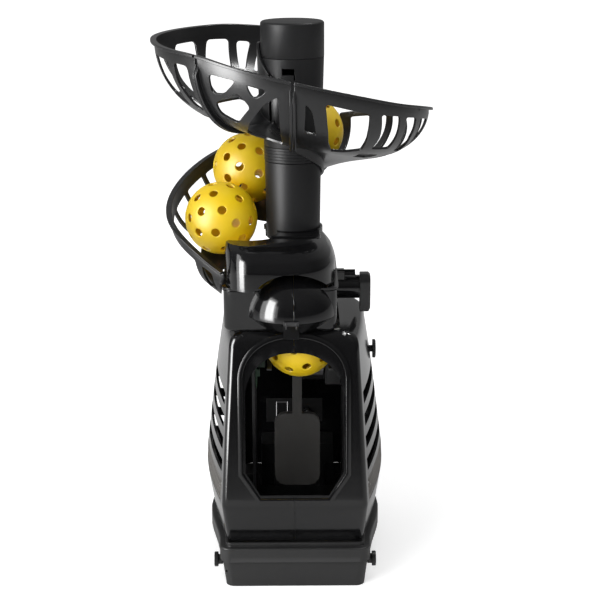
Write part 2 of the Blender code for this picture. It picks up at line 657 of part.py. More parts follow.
def build_tilt_knob(side, label):
    """Hand nut with its bolt through the tray wall and the ear."""
    inner = BASE_FOOT_HALF - BASE_WALL - EAR_THICK - BITE
    face = BASE_HALF + GAP + SKIRT_WALL + KNOB_STAND
    profile = (
        (0.0, face + KNOB_LENGTH),
        (KNOB_RADIUS - KNOB_EDGE, face + KNOB_LENGTH),
        (KNOB_RADIUS, face + KNOB_LENGTH - KNOB_EDGE),
        (KNOB_RADIUS, face),
        (KNOB_NECK, face),
        (KNOB_NECK, BASE_HALF + GAP),
        (TILT_BOLT, BASE_HALF + GAP),
        (TILT_BOLT, inner),
        (0.0, inner),
    )
    knob = turned("tilt_knob_" + label, profile, SATIN_BLACK, steps=12, closed=False)
    knob.location = (0.0, TILT_Y, TILT_Z)
    knob.rotation_euler = (0.0, side * math.radians(90), 0.0)
    return knob


# Housing shells

def panel_y(z):
    """Front face of the leaning front panel."""
    return mix(CREASE_Y, PANEL_TOP_Y, (z - CREASE_Z) / (PANEL_TOP_Z - CREASE_Z))


def housing_outline(z, inset=0.0, seam=0.5 * GAP):
    """Right half of the housing's outline at a height, from the front seam to the back seam."""
    stations = [[panel_y(row[0]) if item is None else item for item in row]
                for row in HOUSING_STATIONS]
    _, front, front_half, widest, back_half, back = from_stations(stations, z)
    if z > stations[-1][0]:
        front = panel_y(z)
    front += SHOULDER_FRONT * inset
    back -= inset
    front_half -= inset
    widest -= inset
    back_half -= inset
    corner = HOUSING_CORNER
    back_corner = HOUSING_BACK_CORNER
    points = [(seam, front)]
    for angle in (-90, -65, -40, -15):
        turn = math.radians(angle)
        points.append((front_half - corner + corner * math.cos(turn),
                       front + corner + corner * math.sin(turn)))
    for share in (0.25, 0.5, 0.75, 1.0):
        points.append((widest - (widest - front_half) * (1 - share) ** SIDE_SWELL,
                       mix(front + corner, WIDEST_Y, share)))
    for share in (0.4, 0.75):
        points.append((widest - (widest - back_half) * share ** BACK_SWELL,
                       mix(WIDEST_Y, back - back_corner, share)))
    for angle in (0, 30, 60, 90):
        turn = math.radians(angle)
        points.append((back_half - back_corner + back_corner * math.cos(turn),
                       back - back_corner + back_corner * math.sin(turn)))
    points.append((seam, back))
    return [(x, y, z) for x, y in points]


def arch(half, top, spring, bottom, sill_half, chamfer_top, steps=8):
    """Right half of the window's outline from the top to the bottom, as (x, z)."""
    points = []
    for i in range(steps + 1):
        angle = math.radians(90 - 90 * i / steps)
        points.append((half * math.cos(angle) ** ARCH_ROUNDNESS, spring + (top - spring) * math.sin(angle)))
    points.append((half, chamfer_top))
    points.append((sill_half, bottom))
    return points


def window_arch(grow):
    """The window's outline made wider all round."""
    return arch(WINDOW_HALF + grow, WINDOW_TOP + grow, WINDOW_SPRING, WINDOW_BOTTOM - grow,
                WINDOW_SILL_HALF + SILL_GROWTH * grow, WINDOW_CHAMFER_TOP - SILL_GROWTH * grow)


def window_cutter():
    """Prism through the front panel, with a low arch that hides the waiting ball's top."""
    half = arch(WINDOW_HALF - WALL_LIP, VISOR_TOP, VISOR_SPRING, WINDOW_BOTTOM + WALL_LIP,
                WINDOW_SILL_HALF, WINDOW_CHAMFER_TOP)
    outline = half + [(-x, z) for x, z in reversed(half[1:])]
    return skin("window opening", [[(x, y, z) for x, z in outline]
                                   for y in (CREASE_Y - REACH, PANEL_TOP_Y + REACH)])


def collar_half(side):
    """Half of the raised collar round the window, a four-sided bar along the arch."""
    inner = window_arch(0.0)
    outer = window_arch(COLLAR_WIDTH)
    inner[0] = (0.5 * GAP, inner[0][1])
    outer[0] = (0.5 * GAP, outer[0][1])
    inner.append((0.5 * GAP, inner[-1][1]))
    outer.append((0.5 * GAP, outer[-1][1]))
    rings = []
    for (xi, zi), (xo, zo) in zip(inner, outer):
        rings.append((
            (side * xi, panel_y(zi) - COLLAR_PROUD, zi),
            (side * xi, panel_y(zi) + COLLAR_DEEP, zi),
            (side * xo, panel_y(zo) + COLLAR_DEEP, zo),
            (side * xo, panel_y(zo) - COLLAR_PROUD + COLLAR_EDGE, zo),
        ))
    return skin("window collar " + ("left" if side < 0 else "right"), rings)


def louvre_cutter(side):
    """Level slots up to a narrow rib; on the left a falling slot follows behind each."""
    bm = bmesh.new()
    half = 0.5 * LOUVRE_HEIGHT
    for i in range(LOUVRE_COUNT):
        z = LOUVRE_FIRST + i * LOUVRE_PITCH
        slots = [((panel_y(z) + LOUVRE_START, z), (WIDEST_Y - 0.5 * LOUVRE_RIB, z))]
        if side < 0:
            slots.append(((WIDEST_Y + 0.5 * LOUVRE_RIB, z), (LOUVRE_END, z - LOUVRE_FALL)))
        for slot in slots:
            rings = [((side * LOUVRE_INNER, y, middle - half), (side * LOUVRE_OUTER, y, middle - half),
                      (side * LOUVRE_OUTER, y, middle + half), (side * LOUVRE_INNER, y, middle + half))
                     for y, middle in slot]
            loft(bm, rings, caps=True)
    return finish(bm, "louvres " + ("left" if side < 0 else "right"))


def build_housing(side, label, shared_cutters):
    """One moulded half of the housing, open below and at the centre seam."""
    rings = [housing_outline(row[0]) for row in HOUSING_STATIONS]
    rings += [housing_outline(height, inset) for height, inset in SHOULDER]
    bm = bmesh.new()
    rows = loft(bm, [[(side * x, y, z) for x, y, z in ring] for ring in rings], wrap=False)
    bm.faces.new(rows[-1])
    half = finish(bm, "housing_" + label, GLOSS_BLACK)
    thicken = half.modifiers.new("wall", "SOLIDIFY")
    thicken.thickness = WALL
    thicken.offset = -1.0
    thicken.use_even_offset = True
    for cutter in shared_cutters:
        boolean(half, cutter)
    boolean(half, louvre_cutter(side))
    grille_hole = box("grille opening " + label, (side * GRILLE_INNER, GRILLE_FRONT, GRILLE_BOTTOM),
                      (side * GRILLE_OUTER, GRILLE_BACK, GRILLE_TOP))
    boolean(half, grille_hole)
    boolean(half, collar_half(side), "UNION")
    if side > 0:
        boolean(half, cylinder("side knob hole", (SIDE_KNOB_X - REACH, WIDEST_Y, SIDE_KNOB_Z),
                               (SIDE_KNOB_X + REACH, WIDEST_Y, SIDE_KNOB_Z), SIDE_KNOB_STEM + GAP,
                               sides=16))
    return half


def build_grille(side, label):
    """Curved panel with a net of openings that fills the hole low in the side wall."""
    bm = bmesh.new()
    grid = []
    for r in range(GRILLE_ROWS + 1):
        z = mix(GRILLE_BOTTOM + GAP, GRILLE_TOP - GAP, r / GRILLE_ROWS)
        outline = housing_outline(z)[4:9]
        line = []
        for c in range(GRILLE_COLUMNS + 1):
            y = mix(GRILLE_FRONT + GAP, GRILLE_BACK - GAP, c / GRILLE_COLUMNS)
            x = side_x(outline, y) - GRILLE_SINK
            line.append(bm.verts.new((side * x, y, z)))
        grid.append(line)
    for r in range(GRILLE_ROWS):
        for c in range(GRILLE_COLUMNS):
            if r % 2 == 1 and c % 2 == 1:
                continue
            bm.faces.new((grid[r][c], grid[r][c + 1], grid[r + 1][c + 1], grid[r + 1][c]))
    panel = finish(bm, "side_grille_" + label, MATT_GREY)
    thicken = panel.modifiers.new("wall", "SOLIDIFY")
    thicken.thickness = GRILLE_THICK
    thicken.offset = 0.0
    return panel


def side_x(outline, y):
    """Half width of the side wall at a depth, from the outline's own points."""
    points = sorted((point[1], point[0]) for point in outline)
    return from_stations(points, y)[1]


# Head box, dome and hood

def dome_solid(name, shrink):
    """Half ball on a short cone, the cover over the ball that waits at the gate."""
    steps = DOME_RINGS
    radius = DOME_RADIUS - shrink
    foot = DOME_FOOT_RADIUS - shrink
    profile = [(0.0, radius)]
    for i in range(1, steps + 1):
        angle = math.radians(90 - 90 * i / steps)
        profile.append((radius * math.cos(angle), radius * math.sin(angle)))
    bottom = ROOF_Z + GAP - DOME_Z + shrink
    profile += [(foot, bottom), (0.0, bottom)]
    sides = DOME_SIDES
    bm = bmesh.new()
    rings = [[(r * math.cos(2 * math.pi * k / sides), DOME_Y + r * math.sin(2 * math.pi * k / sides),
               DOME_Z + z) for k in range(sides)] for r, z in profile[1:-1]]
    rows = loft(bm, list(reversed(rings)))
    bm.faces.new(list(reversed(rows[0])))
    top = bm.verts.new((0.0, DOME_Y, DOME_Z + radius))
    for k in range(sides):
        bm.faces.new((rows[-1][k], rows[-1][(k + 1) % sides], top))
    return finish(bm, name)


def hood_ring(z, width_share, depth_share, grow=0.0):
    """Outline of the hood at a height, a rounded ellipse."""
    half_x = 0.5 * (HEAD_RIGHT - HEAD_LEFT) * width_share + grow
    half_y = 0.5 * (HOOD_BACK - HOOD_FRONT) * depth_share + grow
    centre_y = 0.5 * (HOOD_BACK + HOOD_FRONT)
    points = []
    for k in range(HOOD_SIDES):
        angle = 2 * math.pi * (k + 0.5) / HOOD_SIDES
        c = math.cos(angle)
        s = math.sin(angle)
        points.append((HOOD_CENTRE_X + half_x * math.copysign(abs(c) ** (2 / HOOD_ROUNDNESS), c),
                       centre_y + half_y * math.copysign(abs(s) ** (2 / HOOD_ROUNDNESS), s), z))
    return points


def hood_solid(name, shrink, material=None):
    """The hood's outer form, or its hollow when shrunk by a wall."""
    bottom = HEAD_TOP + GAP
    top = HOOD_TOP - shrink
    start = bottom - (BITE if shrink > 0 else 0.0)
    rings = []
    for height, width, depth in HOOD_PROFILE:
        rings.append(hood_ring(mix(start, top, height), width, depth, -shrink))
    return skin(name, rings, material, smooth=True)


def capsule(name, centres, radius, rings=10, sides=20):
    """Rounded channel that a ball sweeps from one place to the next."""
    bm = bmesh.new()
    for centre in centres:
        bmesh.ops.create_uvsphere(bm, u_segments=sides, v_segments=rings, radius=radius,
                                  matrix=Matrix.Translation(centre))
    hull = bmesh.ops.convex_hull(bm, input=bm.verts[:])
    inside = [item for item in hull["geom_interior"] if isinstance(item, bmesh.types.BMVert)]
    bmesh.ops.delete(bm, geom=inside, context="VERTS")
    loose = [face for face in bm.faces if face not in set(hull["geom"])]
    bmesh.ops.delete(bm, geom=loose, context="FACES")
    return finish(bm, name)


def half_space(side):
    """Everything on the other side of the centre seam."""
    label = "left" if side < 0 else "right"
    return box("beyond the seam of the " + label, (side * 0.5 * GAP, -FAR, 0.0), (-side * FAR, FAR, CAP_TOP))


def head_body(name, material):
    """Head box with a flange round its top, closed, before it is hollowed."""
    def ring(grow, z):
        return rounded_ring(HEAD_LEFT - grow, HEAD_RIGHT + grow, HEAD_FRONT - grow,
                            HEAD_BACK + grow, HEAD_CORNER + grow, z)

    return skin(name, (
        ring(-HEAD_CHAMFER, ROOF_Z + GAP),
        ring(0.0, ROOF_Z + GAP + HEAD_CHAMFER_RISE),
        ring(0.0, HEAD_TOP - FLANGE),
        ring(FLANGE, HEAD_TOP - FLANGE),
        ring(FLANGE, HEAD_TOP),
    ), material, smooth=True)


def build_head(side, label, cutters):
    """One half of the head box, with its half of the dome."""
    half = head_body("head_" + label, GLOSS_BLACK)
    boolean(half, cutters["dome outside"], "UNION")
    boolean(half, cutters["head hollow"])
    boolean(half, cutters["dome hollow"])
    boolean(half, cutters["drop channel"])
    boolean(half, cutters["seam " + label])
    return half


def hood_mouth():
    """Everything to the left of the upright plane at which the hood ends."""
    place = Vector((HOOD_MOUTH_X, HOOD_MOUTH_Y))
    turn = math.radians(HOOD_MOUTH_TURN)
    across = Vector((-math.cos(turn), math.sin(turn)))
    along = Vector((across.y, -across.x))
    corners = (place - FAR * along, place + FAR * along, place + FAR * (along + across),
               place + FAR * (across - along))
    return skin("hood mouth", [[(corner.x, corner.y, z) for corner in corners]
                               for z in (HEAD_TOP - BITE, CAP_TOP)])


def build_hood(cutters):
    """Domed cover with the column's socket, open on the left where the balls run in."""
    hood = hood_solid("hood", 0.0, GLOSS_BLACK)
    boolean(hood, cutters["hood hollow"])
    boolean(hood, hood_mouth())
    boolean(hood, cutters["column socket"], "UNION")
    boolean(hood, cutters["column hole"])
    boolean(hood, cutters["dome clearance"])
    boolean(hood, cutters["hood arch"])
    boolean(hood, cutters["entry channel"])
    return hood


def build_catch():
    """Tab that runs down the front of the dome and hooks onto the collar's top."""
    rim = DOME_Y - DOME_RADIUS - CATCH_FIT
    foot = DOME_Y - DOME_FOOT_RADIUS - CATCH_FIT
    toe_z = WINDOW_TOP + COLLAR_WIDTH - CATCH_REACH
    toe = panel_y(toe_z) - COLLAR_PROUD - GAP
    outline = (
        (rim - CATCH_THICK, DOME_Z + CATCH_RISE), (rim - CATCH_THICK, DOME_Z - BITE),
        (foot - CATCH_THICK, ROOF_Z - BITE), (toe - CATCH_THICK, toe_z), (toe, toe_z),
        (toe, ROOF_Z - CATCH_THICK), (foot, ROOF_Z), (rim, DOME_Z), (rim, DOME_Z + CATCH_RISE),
    )
    return skin("front_catch", [[(x, y, z) for y, z in outline] for x in (-CATCH_HALF, CATCH_HALF)],
                SATIN_BLACK)


# Column

def column_radius(z):
    """Outer radius of the tapered column."""
    if z < SEAM_Z:
        return mix(COLUMN_FOOT_RADIUS, COLUMN_SEAM_RADIUS,
                   (z - COLUMN_SEAT) / (SEAM_Z - COLUMN_SEAT))
    return mix(COLUMN_SEAM_RADIUS, COLUMN_TOP_RADIUS,
               min(1.0, (z - SEAM_Z) / (CAP_BOTTOM - SEAM_Z)))


def build_column():
    ring_top = SEAM_Z + RING_HEIGHT
    foot_inner = COLUMN_FOOT_RADIUS - COLUMN_WALL
    lower = turned("column_lower", (
        (COLUMN_SEAM_RADIUS, SEAM_Z - GAP),
        (COLUMN_FOOT_RADIUS, COLUMN_SEAT),
        (foot_inner, COLUMN_SEAT),
        (foot_inner, SEAM_Z - GAP),
    ), COLUMN_GREY, steps=COLUMN_SIDES)
    spigot = foot_inner - GAP
    ring = []
    pitch = (RING_HEIGHT - GAP) / RING_GROOVES
    for i in range(RING_GROOVES):
        z = ring_top - GAP - pitch * i
        ring.append((COLUMN_SEAM_RADIUS + RING_GROOVE, z))
        ring.append((COLUMN_SEAM_RADIUS + RING_GROOVE, z - pitch + RING_GROOVE))
        ring.append((COLUMN_SEAM_RADIUS, z - pitch))
    hub = turned("column_ring", ring + [
        (spigot + GAP, SEAM_Z), (spigot + GAP, ring_top - GAP)], COLUMN_GREY, steps=20)
    upper = turned("column_upper", (
        (column_radius(CAP_BOTTOM) - 0.3 * GAP, CAP_BOTTOM - GAP),
        (column_radius(ring_top), ring_top),
        (spigot, ring_top),
        (spigot, SEAM_Z - SPIGOT_LENGTH),
        (spigot - SPIGOT_WALL, SEAM_Z - SPIGOT_LENGTH),
        (spigot - SPIGOT_WALL, ring_top + SPIGOT_WALL),
        (COLUMN_TOP_RADIUS - 2 * COLUMN_WALL, CAP_BOTTOM - GAP),
    ), COLUMN_GREY, steps=COLUMN_SIDES)
    boolean(upper, box("hook slot", *HOOK_SLOT))
    plug = COLUMN_TOP_RADIUS - 2 * COLUMN_WALL - GAP
    cap = turned("column_cap", (
        (0.0, CAP_TOP),
        (COLUMN_TOP_RADIUS - CAP_EDGE, CAP_TOP - 0.1 * CAP_EDGE),
        (COLUMN_TOP_RADIUS - 0.3 * CAP_EDGE, CAP_TOP - 0.3 * CAP_EDGE),
        (COLUMN_TOP_RADIUS, CAP_TOP - CAP_EDGE),
        (COLUMN_TOP_RADIUS, CAP_BOTTOM),
        (plug, CAP_BOTTOM),
        (plug - GAP, CAP_BOTTOM - PLUG_LENGTH),
        (0.0, CAP_BOTTOM - PLUG_LENGTH),
    ), COLUMN_GREY, steps=COLUMN_SIDES, closed=False)
    return lower, hub, upper, cap


# Spiral ramp

def ramp_point(theta, row, shift=0.0, outward=0.0):
    """A point of the trough's middle surface.

    row 0..1 runs out along the floor, 1..2 up the curved wall and 2..3 across the lip.
    """
    _, rim, rim_z, floor = from_stations(RAMP_STATIONS, theta)
    rim_z -= 0.5 * WALL
    wall_radius = rim - RIM_LIP
    inner = column_radius(floor) + SLEEVE_CLEARANCE + 0.5 * WALL
    if row <= 1.0:
        radius = mix(inner, BALL_PATH, row)
        z = floor - FLOOR_FALL * (1.0 - row)
        normal = (0.0, -1.0)
    elif row <= 2.0:
        turn = math.radians(90 * (row - 1.0))
        radius = BALL_PATH + (wall_radius - BALL_PATH) * math.sin(turn)
        z = floor + (rim_z - floor) * (1.0 - math.cos(turn))
        normal = (math.sin(turn), -math.cos(turn))
    else:
        radius = mix(wall_radius, rim, row - 2.0)
        z = rim_z
        normal = (0.0, -1.0) if row > 2.0 else (1.0, 0.0)
    radius += normal[0] * outward
    z += normal[1] * outward
    angle = math.radians(theta)
    x = radius * math.sin(angle) + shift * math.cos(angle)
    y = -radius * math.cos(angle) + shift * math.sin(angle)
    return x, y, z


def pattern_height(row):
    """Place of a row in the flat pattern, across the trough."""
    if row <= 1.0:
        return row * PATTERN_FLOOR
    if row <= 2.0:
        return PATTERN_FLOOR + (row - 1.0) * PATTERN_WALL
    return PATTERN_FLOOR + PATTERN_WALL + (row - 2.0) * RIM_LIP


def pattern_row(height):
    """The row at a place across the flat pattern."""
    if height <= PATTERN_FLOOR:
        return height / PATTERN_FLOOR
    if height <= PATTERN_FLOOR + PATTERN_WALL:
        return 1.0 + (height - PATTERN_FLOOR) / PATTERN_WALL
    return 2.0 + (height - PATTERN_FLOOR - PATTERN_WALL) / RIM_LIP


def stepped(points, step):
    """An open line with points added so that none of its parts is longer than a step."""
    line = [Vector(points[0])]
    for a, b in zip(points, points[1:]):
        a = Vector(a)
        b = Vector(b)
        parts = max(1, math.ceil((b - a).length / step))
        line += [a.lerp(b, (i + 1) / parts) for i in range(parts)]
    return line


def cornered(corners, size):
    """An outline with its corners cut off, anticlockwise."""
    outline = []
    count = len(corners)
    if sum(a[0] * b[1] - b[0] * a[1] for a, b in zip(corners, corners[1:] + corners[:1])) < 0.0:
        corners = corners[::-1]
    for i, corner in enumerate(corners):
        corner = Vector(corner)
        for other in (corners[i - 1], corners[(i + 1) % count]):
            way = Vector(other) - corner
            outline.append(corner + way * min(0.4, size / way.length))
    return outline


def pierced_sheet(bm, edge, openings, folds, step, grid, place):
    """Cut a flat sheet with openings into triangles and put its points in place.

    edge and openings are closed outlines, folds are lines that the triangles keep to, and
    grid is the spacing of the points between them.
    """
    points = []
    lines = []
    faces = []

    def add(line, closed):
        first = len(points)
        points.extend(Vector(p) for p in line)
        ids = list(range(first, len(points)))
        lines.extend(zip(ids, ids[1:]))
        if closed:
            faces.append(ids)
            lines.append((ids[-1], ids[0]))

    add(stepped(edge + edge[:1], step)[:-1], True)
    for opening in openings:
        add(stepped(opening + opening[:1], step)[:-1], True)
    for fold in folds:
        add(stepped(fold, step), False)
    outlined = list(points)
    right, top = (max(point[i] for point in edge) for i in (0, 1))
    for i in range(int(right / grid)):
        for j in range(int(top / grid)):
            point = Vector(((i + 0.5) * grid, (j + 1) * grid))
            if min((point - other).length for other in outlined) > 0.4 * grid:
                points.append(point)
    flat, _, cells, _, _, sources = delaunay_2d_cdt(points, lines, faces, 0, 1e-6)
    verts = [bm.verts.new(place(*point)) for point in flat]
    for cell, source in zip(cells, sources):
        if source == [0]:
            bm.faces.new([verts[i] for i in cell])
    bmesh.ops.delete(bm, geom=[v for v in bm.verts if not v.link_faces], context="VERTS")


def build_ramp(name, start, end, openings, corner, inner_height):
    """One moulded segment: a trough with openings, a rim lip and a flange at each end.

    openings are corners as (angle, row), inner_height is the sleeve's end above the floor.
    """
    end_shift = 0.5 * (WALL + GAP)
    length = (end - start) * PATTERN_DEGREE
    top = pattern_height(3.0)

    def place(along, across):
        inside = min(max(along, 0.0), length)
        outward = abs(along - inside)
        theta = start + inside / PATTERN_DEGREE
        shift = end_shift * (1.0 - 2.0 * inside / length)
        if across < 0.0:
            share = across / -PATTERN_FLOOR
            z = ramp_point(theta, 0.0)[2] + inner_height(theta) * share
            radius = column_radius(z) + SLEEVE_CLEARANCE + 0.5 * WALL
            angle = math.radians(theta)
            return (radius * math.sin(angle) + shift * math.cos(angle),
                    -radius * math.cos(angle) + shift * math.sin(angle), z)
        return ramp_point(theta, pattern_row(across), shift, outward)

    edge = [(-FLANGE_WIDTH, 0.0), (0.0, 0.0), (0.0, -PATTERN_FLOOR), (length, -PATTERN_FLOOR),
            (length, 0.0), (length + FLANGE_WIDTH, 0.0), (length + FLANGE_WIDTH, top),
            (-FLANGE_WIDTH, top)]
    wall_top = pattern_height(2.0)
    folds = [[(0.0, 0.0), (length, 0.0)], [(0.0, 0.0), (0.0, top)], [(length, 0.0), (length, top)],
             [(-FLANGE_WIDTH, wall_top), (length + FLANGE_WIDTH, wall_top)]]
    outlines = [cornered([((theta - start) * PATTERN_DEGREE, pattern_height(row))
                          for theta, row in opening], corner) for opening in openings]
    bm = bmesh.new()
    pierced_sheet(bm, edge, outlines, folds, PATTERN_STEP, PATTERN_GRID, place)
    segment = finish(bm, name, SATIN_BLACK, smooth=True)
    thicken = segment.modifiers.new("wall", "SOLIDIFY")
    thicken.thickness = WALL
    thicken.offset = 0.0
    return segment


def even_slots():
    """Leaning slots of the lowest segment."""
    slots = []
    for k in range(TRACK_SLOT_COUNT):
        left = TRACK_SLOT_FIRST + k * TRACK_SLOT_PITCH
        right = left + TRACK_SLOT_WIDTH
        slots.append(((left, TRACK_SLOT_TOP), (right, TRACK_SLOT_TOP),
                      (right - TRACK_SLOT_LEAN, TRACK_SLOT_BOTTOM),
                      (left - TRACK_SLOT_LEAN, TRACK_SLOT_BOTTOM)))
    return slots


def build_ramps():
    def cup(theta):
        """Height of the inner wall round the column above the hopper's floor."""
        return mix(CUP_START, CUP_END, (theta - JOINT_ANGLES[0]) / (JOINT_ANGLES[2] - JOINT_ANGLES[0]))

    def skirt(_theta):
        return -SLEEVE_HEIGHT

    rows = (
        ("hopper_back", HOPPER_BACK_OPENINGS, HOPPER_CORNER, cup),
        ("hopper_front", HOPPER_FRONT_OPENINGS, HOPPER_CORNER, cup),
        ("track_upper", TRACK_UPPER_OPENINGS, TRACK_CORNER, skirt),
        ("track_lower", (*even_slots(), *TRACK_LOWER_OPENINGS), TRACK_CORNER, skirt),
    )
    return [build_ramp(name, start, end, openings, corner, height)
            for (name, openings, corner, height), start, end in zip(rows, JOINT_ANGLES, JOINT_ANGLES[1:])]


# Balls

def ball_mesh():
    """Hollow ball: the hull of all its hole rims, with the rims left open."""
    bm = bmesh.new()
    holes = []
    for hemisphere in (1, -1):
        for latitude, count, turn in BALL_RINGS:
            for k in range(count):
                longitude = math.radians(360 * (k + (0.5 if hemisphere < 0 else 0.0)) / count + turn)
                height = math.radians(latitude) * hemisphere
                axis = Vector((math.cos(height) * math.cos(longitude),
                               math.cos(height) * math.sin(longitude), math.sin(height)))
                holes.append(axis)
    rims = {}
    for number, axis in enumerate(holes):
        turn = axis.to_track_quat("Z", "Y").to_matrix()
        depth = math.sqrt(BALL_RADIUS ** 2 - BALL_HOLE_RADIUS ** 2)
        for k in range(BALL_HOLE_SIDES):
            angle = 2 * math.pi * k / BALL_HOLE_SIDES
            local = Vector((BALL_HOLE_RADIUS * math.cos(angle),
                            BALL_HOLE_RADIUS * math.sin(angle), depth))
            rims[bm.verts.new(turn @ local)] = number
    bmesh.ops.convex_hull(bm, input=bm.verts[:])
    lids = [face for face in bm.faces if len({rims[v] for v in face.verts}) == 1]
    bmesh.ops.delete(bm, geom=lids, context="FACES_ONLY")
    spare = [edge for edge in bm.edges if not edge.link_faces]
    bmesh.ops.delete(bm, geom=spare, context="EDGES")
    bmesh.ops.recalc_face_normals(bm, faces=bm.faces)
    mesh = bpy.data.meshes.new("perforated ball")
    bm.to_mesh(mesh)
    bm.free()
    mesh.shade_smooth()
    return mesh


def build_balls():
    mesh = ball_mesh()
    mesh.materials.append(YELLOW)
    for number, (name, place) in enumerate(BALL_PLACES.items()):
        ball = bpy.data.objects.new(name, mesh)
        PARTS.objects.link(ball)
        ball.location = place
        ball.rotation_euler = BALL_TURNS[number]
        thicken = ball.modifiers.new("wall", "SOLIDIFY")
        thicken.thickness = BALL_WALL
        thicken.offset = -1.0


# Throwing arm, its shaft, spring, cam, motor and frame

def build_arm():
    """Flat paddle on a neck, with a hub on the shaft and a short tail for the cam."""
    half = 0.5 * ARM_THICK
    outline = []
    corner = PADDLE_CORNER
    for x, z, start in ((PADDLE_HALF - corner, PADDLE_TOP - corner, 0),
                        (-PADDLE_HALF + corner, PADDLE_TOP - corner, 90),
                        (-PADDLE_HALF + corner, PADDLE_BOTTOM + corner, 180),
                        (PADDLE_HALF - corner, PADDLE_BOTTOM + corner, 270)):
        for i in range(4):
            angle = math.radians(start + 30 * i)
            outline.append((ARM_X + x + corner * math.cos(angle), z + corner * math.sin(angle)))
    arm = skin("throwing_arm", [[(x, ARM_Y + y, z) for x, z in outline] for y in (-half, half)], MATT_GREY)
    neck = box("arm neck", (ARM_X - 0.5 * NECK_WIDTH, ARM_Y - half, PADDLE_TOP - NECK_OVERLAP),
               (ARM_X + 0.5 * NECK_WIDTH, ARM_Y + half, ARM_PIVOT_Z))
    boolean(arm, neck, "UNION")
    hub = cylinder("arm hub", (ARM_X - ARM_HUB_HALF, ARM_Y, ARM_PIVOT_Z),
                   (ARM_X + ARM_HUB_HALF + CAM_THICK + BITE, ARM_Y, ARM_PIVOT_Z), ARM_HUB_RADIUS)
    boolean(arm, hub, "UNION")
    tail_x = ARM_X + ARM_HUB_HALF + BITE
    tail = box("arm tail", (tail_x, ARM_Y - half, ARM_PIVOT_Z),
               (tail_x + CAM_THICK, ARM_Y + half, ARM_PIVOT_Z + TAIL_HEIGHT))
    boolean(arm, tail, "UNION")
    bore = cylinder("arm bore", (PLATE_LEFT, ARM_Y, ARM_PIVOT_Z), (PLATE_RIGHT, ARM_Y, ARM_PIVOT_Z),
                    ARM_SHAFT_RADIUS + GAP)
    boolean(arm, bore)
    return centred(arm, (ARM_X, ARM_Y, ARM_PIVOT_Z))


def build_mechanism_frame(shafts):
    """Two upright plates on a foot plate, with the pins of the release fingers."""
    foot = FRAME_FLOOR + FRAME_FLOOR_THICK + GAP
    right = PLATE_RIGHT + PLATE_THICK
    outline = ((PLATE_LEFT, foot), (right, foot), (right, PLATE_TOP), (PLATE_RIGHT, PLATE_TOP),
               (PLATE_RIGHT, foot + PLATE_THICK), (PLATE_LEFT + PLATE_THICK, foot + PLATE_THICK),
               (PLATE_LEFT + PLATE_THICK, PLATE_TOP), (PLATE_LEFT, PLATE_TOP))
    frame = skin("mechanism_frame", [[(x, y, z) for x, z in outline] for y in (PLATE_FRONT, PLATE_BACK)],
                 SATIN_BLACK)
    front, bottom, back, top = PLATE_WINDOW
    for label, x in (("left", PLATE_LEFT), ("right", PLATE_RIGHT)):
        boolean(frame, box(label + " plate window", (x - BITE, front, bottom),
                           (x + PLATE_THICK + BITE, back, top)))
    centre = BALL_PLACES["ball_5"][0]
    for side, inner in ((-1, PLATE_LEFT + 0.5 * PLATE_THICK), (1, PLATE_RIGHT + 0.5 * PLATE_THICK)):
        tip = centre + side * FINGER_SPREAD
        pin = cylinder("finger pin %d" % side, (inner, FINGER_PIVOT_Y, FINGER_PIVOT_Z),
                       (tip, FINGER_PIVOT_Y, FINGER_PIVOT_Z), FINGER_PIN_RADIUS, sides=12)
        boolean(frame, pin, "UNION")
    for cutter in shafts:
        boolean(frame, cutter)
    return frame


def build_shaft(name, y, z, radius, left, right):
    return cylinder(name, (left, y, z), (right, y, z), radius, STEEL, sides=20)


def build_cam():
    """Snail cam: its edge rises through one turn and drops back in a step."""
    x = ARM_X + ARM_HUB_HALF + BITE
    outline = []
    for i in range(CAM_STEPS + 1):
        share = i / CAM_STEPS
        radius = mix(CAM_LOW, CAM_HIGH, share)
        angle = math.radians(CAM_START + CAM_TURN * share)
        outline.append((radius * math.cos(angle), radius * math.sin(angle)))
    cam = skin("drive_cam", [[(x + dx, CAM_Y + y, CAM_Z + z) for y, z in outline]
                             for dx in (0.0, CAM_THICK)], NYLON)
    bore = cylinder("cam bore", (x - BITE, CAM_Y, CAM_Z), (x + CAM_THICK + BITE, CAM_Y, CAM_Z),
                    CAM_SHAFT_RADIUS + GAP, sides=16)
    boolean(cam, bore)
    return centred(cam, (x + 0.5 * CAM_THICK, CAM_Y, CAM_Z))


def build_gearbox():
    right = PLATE_RIGHT - GAP
    size = GEARBOX_SIZE
    low = (right - size[0], CAM_Y - 0.5 * size[1], CAM_Z + GEARBOX_ABOVE - size[2])
    gearbox = box("gearbox", low, (right, low[1] + size[1], low[2] + size[2]), SATIN_BLACK,
                  bevel=GEARBOX_EDGE)
    boolean(gearbox, cylinder("gearbox shaft hole", (low[0] - BITE, CAM_Y, CAM_Z),
                              (right + BITE, CAM_Y, CAM_Z), CAM_SHAFT_RADIUS + GAP, sides=16))
    motor_z = low[2] + MOTOR_RADIUS + MOTOR_RISE
    end = low[0] - GAP
    motor = turned("drive_motor", (
        (0.0, 0.0),
        (MOTOR_RADIUS - MOTOR_EDGE, 0.0),
        (MOTOR_RADIUS, -MOTOR_EDGE),
        (MOTOR_RADIUS, -MOTOR_LENGTH + MOTOR_EDGE),
        (MOTOR_RADIUS - MOTOR_EDGE, -MOTOR_LENGTH),
        (MOTOR_BOSS_RADIUS, -MOTOR_LENGTH),
        (MOTOR_BOSS_RADIUS, -MOTOR_LENGTH - MOTOR_BOSS),
        (0.0, -MOTOR_LENGTH - MOTOR_BOSS),
    ), MOTOR_CAN, steps=16, closed=False)
    motor.location = (end, CAM_Y, motor_z)
    motor.rotation_euler = (0.0, math.radians(90), 0.0)
    return gearbox, motor


